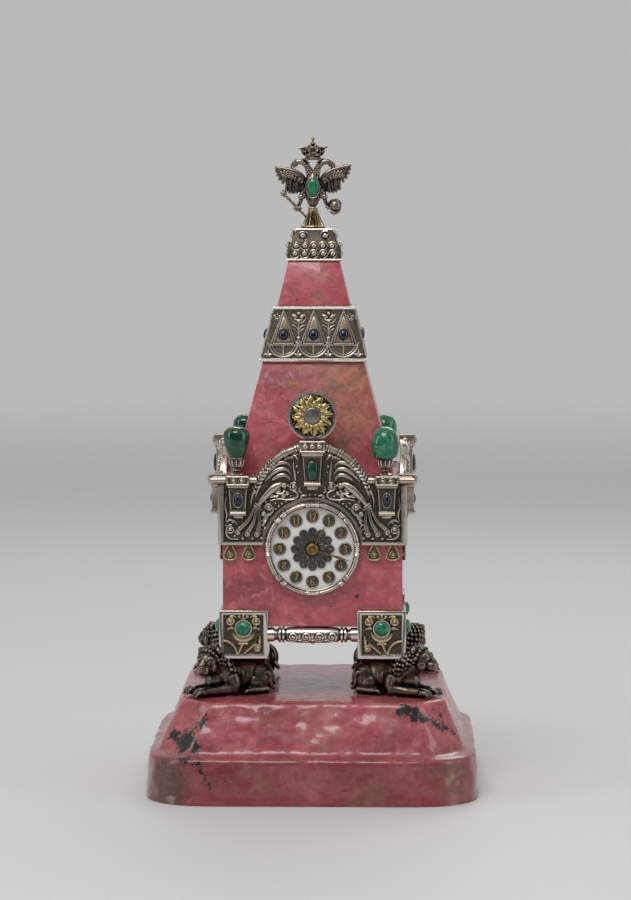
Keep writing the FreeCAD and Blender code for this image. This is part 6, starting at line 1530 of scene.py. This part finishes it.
# Strokes of the numerals, in a square of 2 by 2 about the disc's middle
DIGITS = {
    "0": ([(0, 1), (-0.6, 0.5), (-0.6, -0.5), (0, -1), (0.6, -0.5), (0.6, 0.5), (0, 1)],),
    "1": ([(-0.35, 0.65), (0.1, 1), (0.1, -1)], [(-0.35, -1), (0.5, -1)]),
    "2": ([(-0.6, 0.5), (-0.2, 1), (0.45, 0.85), (0.5, 0.3), (-0.1, -0.4), (-0.6, -1), (0.65, -0.95)],),
    "3": ([(-0.55, 0.8), (0.1, 1), (0.5, 0.6), (0.0, 0.1), (0.6, -0.4), (0.1, -1), (-0.55, -0.75)],),
    "4": ([(0.2, 1), (-0.65, -0.3), (0.65, -0.3)], [(0.3, 0.3), (0.3, -1)]),
    "5": ([(0.55, 1), (-0.4, 1), (-0.5, 0.15), (0.2, 0.3), (0.6, -0.3), (0.1, -1), (-0.55, -0.75)],),
    "6": ([(0.45, 0.95), (-0.35, 0.5), (-0.55, -0.4), (0, -1), (0.55, -0.5), (0.1, 0.0), (-0.5, -0.3)],),
    "7": ([(-0.6, 0.95), (0.6, 1), (0.1, 0.1), (-0.15, -1)],),
    "8": ([(0, 0.05), (-0.5, 0.5), (0, 1), (0.5, 0.5), (0, 0.05), (-0.6, -0.5), (0, -1), (0.6, -0.5), (0, 0.05)],),
    "9": ([(0.5, 0.35), (0, 0.0), (-0.55, 0.5), (0, 1), (0.55, 0.45), (0.35, -0.5), (-0.4, -0.95)],),
}
DISC_R = 14.45
DISC_PROFILE = ((2.98, -0.5), (2.98, 0.12), (2.8, 0.3), (2.3, 0.34), (1.2, 0.38), (0.2, 0.38))
# Rings of petals: radius, half length, lift and half width
PETALS = ((7.6, 2.0, 0.3, 1.95), (5.9, 1.7, 0.65, 1.5), (4.2, 1.4, 0.95, 1.1))


def numeral_discs():
    discs, rims, marks = Form(), Form(), Form()
    for hour in range(1, 13):
        spot = at(0, DIAL_FACE, DIAL_Z) + spoke(QUARTER - FULL * hour / 12, DISC_R)
        lathe(discs, DISC_PROFILE, spot, OUT, 40)
        roll(rims, spot, OUT, 2.72, 0.26, 0.2, 0.2, 40)
        text = str(hour)
        wide = 1.25 * (0.62 if len(text) == 2 else 1.0)
        for k, digit in enumerate(text):
            x0 = spot.x + 1.8 * (k - (len(text) - 1) / 2)
            for stroke in DIGITS[digit]:
                places = [(x0 + x * wide, spot.z + z * 1.5) for x, z in stroke]
                line(marks, places, DIAL_FACE - 0.42, swell(0.2, 0.34), 0.6)
        for mid in (150, 330) if len(text) == 1 else (90, 270):
            path = arc(spot.x, spot.z, 2.2, mid - 36, mid + 36, DIAL_FACE - 0.38, 10)
            tube(marks, path, swell(0.1, 0.22), up=OUT, sides=6)
    finished(discs, "dark_discs", DARK_METAL, ("numeral_discs",))
    finished(rims, "disc_rims", SILVER)
    finished(marks, "gilt_numerals", GILT)


def dial_rosette():
    petals, edges = Form(), Form()
    lathe(petals, ((7.0, -0.4), (7.2, 0.1), (6.8, 0.3), (2.0, 0.5)), at(0, DIAL_FACE, DIAL_Z), OUT, 64)
    for row, (r, reach, lift, half) in enumerate(PETALS):
        for k in range(12):
            a = FULL * (k + 0.5 * (row % 2)) / 12
            out, side = spoke(a), sideways(a)
            centre = at(0, DIAL_FACE - lift, DIAL_Z) + out * r
            ball(petals, centre, (reach, half, 0.3), Matrix((out, side, -OUT)).transposed(), rings=10, sides=16)
            rim = []
            for i in range(12):
                t = math.radians(20 * i - 110)
                rim.append(centre + (out * reach * math.cos(t) + side * half * math.sin(t)) * 0.94 + OUT * 0.12)
            tube(edges, rim, swell(0.1, 0.24), up=OUT, sides=6)
            rib = [centre - out * reach * 0.4 + OUT * 0.3, centre + out * reach * 0.55 + OUT * 0.24]
            tube(edges, rib, 0.13, sides=5)
    finished(petals, "dark_petals", DARK_METAL, ("dial_rosette",))
    finished(edges, "petal_edges", PEWTER)


# Hands: shares of the length and of the half width, from the hub to the tip
HAND_SHARES = ((0.12, 0.3), (0.5, 0.22), (0.58, 0.5), (0.68, 0.8), (0.78, 0.5), (0.86, 0.24), (1.0, 0.1))
HAND_THICK = 0.34


def hand(length, angle, y, hub, half, cap):
    form = Form()
    a = QUARTER - math.radians(angle)
    centre = at(0, y, DIAL_Z)
    points = []
    for share, w in HAND_SHARES:
        for s, lift in ((-1, 0.0), (1, 0.0), (1, HAND_THICK), (-1, HAND_THICK)):
            points.append(centre + spoke(a, length * share) + sideways(a) * (s * half * w) + OUT * lift)
    last = len(points)
    form.add(points, skin(len(HAND_SHARES), 4, ends=False) + [(3, 2, 1, 0), (last - 4, last - 3, last - 2, last - 1)])
    roll(form, centre, OUT, hub * 0.72, 0.18, hub * 0.28, 0.2)
    if cap:
        roll(form, centre, OUT, 1.9, 0.6, 0.55, 0.5)
        lathe(form, ((2.1, 0.2), (2.1, 0.6), (1.2, 0.7), (0.75, 0.8), (0.7, 1.15), (0.3, 1.25)), centre, OUT, 40)
    return form


# Rosette on the rear cover
COVER_KNOB_H = 1.6
COVER_PETALS = 20


def rear_rosette():
    form = Form()
    face = at(0, span("rear_cover")[1].y - COVER_KNOB_H, DIAL_Z)
    for r, thick in ((13.4, 0.34), (12.6, 0.18), (3.0, 0.3)):
        roll(form, face, -OUT, r, 0.0, thick, thick, 96)
    for k in range(COVER_PETALS):
        path = [face + spoke(FULL * k / COVER_PETALS) * (3.4 + 0.88 * i) for i in range(11)]
        tube(form, path, leaf_width(1.15, 0.1, 1.2), flat=0.4, up=OUT, sides=10)
    return form


plinth()
plain_pieces()
on_sides(dark_fields(), "dark_field", GROUND)
on_sides(both_halves(frieze_half()), "frieze_relief", SILVER)
on_sides(both_halves(arch_half()), "arch_ties", POLISHED)
on_sides(key_and_pedestals(), "key_relief", SILVER)
on_sides(drop_reliefs(), "drop_relief", PALE_GILT)
block_reliefs()
block_gems = ((BLOCK_MID, BLOCK_GEM_Z), (-BLOCK_MID, BLOCK_GEM_Z))
cut_stones("block_emeralds", PALE_EMERALD, block_gems, half_w=3.35, half_h=3.35, rise=2.0, power=2.0)
cut_stones("keystone_emeralds", EMERALD, ((0.0, 143.9),), half_w=2.25, half_h=4.3, rise=1.2, power=2.9)
on_sides(band_relief(), "band_relief", SILVER)
on_sides(band_ground(), "band_ground", GROUND)
on_sides(band_gilt(), "band_gilt", ROSE_GILT)
on_sides(band_gems(), "band_sapphires", SAPPHIRE)
finished(square_rolls(BAND_RIMS), "band_rims", BRIGHT_SILVER)
on_sides(cap_relief(), "cap_relief", SILVER)
finished(square_rolls(CAP_RIMS), "cap_rims", BRIGHT_SILVER)
finished(on_four_sides(rail()), "rails", POLISHED, ("spindle_rails",))
finished(on_four_sides(rail_field()), "rail_fields", GROUND)
lions()
eagle()
bell()
finials()
sun()
bezel()
numeral_discs()
dial_rosette()
finished(rear_rosette(), "rear_cover_rosette", BRASS, body="rear_cover_body")
hour_hand = hand(length=11.9, angle=28.8, y=-42.9, hub=2.6, half=1.1, cap=False)
finished(hour_hand, "hour_hand_gilt", OLD_GOLD, ("hour_hand",), body="hour_hand_body")
minute_hand = hand(length=17.7, angle=107.0, y=-43.75, hub=2.6, half=0.9, cap=True)
finished(minute_hand, "minute_hand_gilt", OLD_GOLD, ("minute_hand",), body="minute_hand_body")


# Floor, light and camera, in metres
def floor():
    material, tree, shader = new_material("pale_floor", Roughness=0.6)
    coords = put(tree, "ShaderNodeTexCoord").outputs["Object"]
    cloudy = clouds(tree, coords, 3.0, 4.0)
    tree.links.new(mixed(tree, cloudy, paint(206, 206, 206), paint(211, 211, 211)), shader.inputs["Base Color"])
    apart = put(tree, "ShaderNodeVectorMath", {0: coords}, operation="LENGTH").outputs["Value"]
    fade = level(tree, apart, 0.7, 3.2, 1.0, 0.0, interpolation_type="SMOOTHSTEP")
    tree.links.new(fade, shader.inputs["Alpha"])
    mesh = bpy.data.meshes.new("floor")
    shape = bmesh.new()
    bmesh.ops.create_circle(shape, cap_ends=True, radius=3.5, segments=96)
    shape.to_mesh(mesh)
    shape.free()
    mesh.materials.append(material)
    made = bpy.data.objects.new("floor", mesh)
    made.location.z = -0.0002
    bpy.context.scene.collection.objects.link(made)


def world():
    made = bpy.data.worlds.new("studio")
    bpy.context.scene.world = made
    made.use_nodes = True
    tree = made.node_tree
    back = tree.nodes["Background"]
    toward = put(tree, "ShaderNodeSeparateXYZ", {0: put(tree, "ShaderNodeTexCoord").outputs["Generated"]})
    turned = level(tree, toward.outputs["Y"], -0.9, 0.9)
    level_sky = ramp(tree, turned, (0.15, paint(92, 92, 94)), (0.85, paint(186, 186, 186)))
    sky = mixed(tree, level(tree, toward.outputs["Z"], 0.12, 0.85), level_sky, paint(196, 196, 196))
    tree.links.new(sky, back.inputs["Color"])
    back.inputs["Strength"].default_value = 1.0


def lamp(name, place, aim, size, watts):
    light = bpy.data.lights.new(name, "AREA")
    light.shape = "RECTANGLE"
    light.size, light.size_y = size
    light.energy = watts
    made = bpy.data.objects.new(name, light)
    made.location = place
    made.rotation_euler = (Vector(aim) - Vector(place)).to_track_quat("-Z", "Y").to_euler()
    bpy.context.scene.collection.objects.link(made)


def camera():
    eye = bpy.data.cameras.new("camera")
    eye.lens = 121.7
    eye.sensor_width = 36.0
    eye.shift_x = 0.001
    eye.clip_end = 50.0
    made = bpy.data.objects.new("camera", eye)
    made.location = (0.0308, -1.3776, 0.256)
    made.rotation_euler = (math.radians(90 - 4.42), 0.0, math.radians(1.28))
    bpy.context.scene.collection.objects.link(made)
    bpy.context.scene.camera = made


floor()
world()
lamp("key", (-0.25, -0.75, 1.15), (0.0, 0.0, 0.12), (0.7, 0.5), 6.5)
lamp("left_card", (-1.1, -0.5, 0.5), (0.0, 0.0, 0.12), (0.4, 0.9), 2.6)
lamp("right_card", (1.1, -0.4, 0.45), (0.0, 0.0, 0.12), (0.4, 0.9), 2.2)
lamp("back", (0.2, 0.9, 0.9), (0.0, 0.0, 0.15), (0.8, 0.4), 2.8)
camera()
bpy.context.scene.view_settings.view_transform = "Standard"
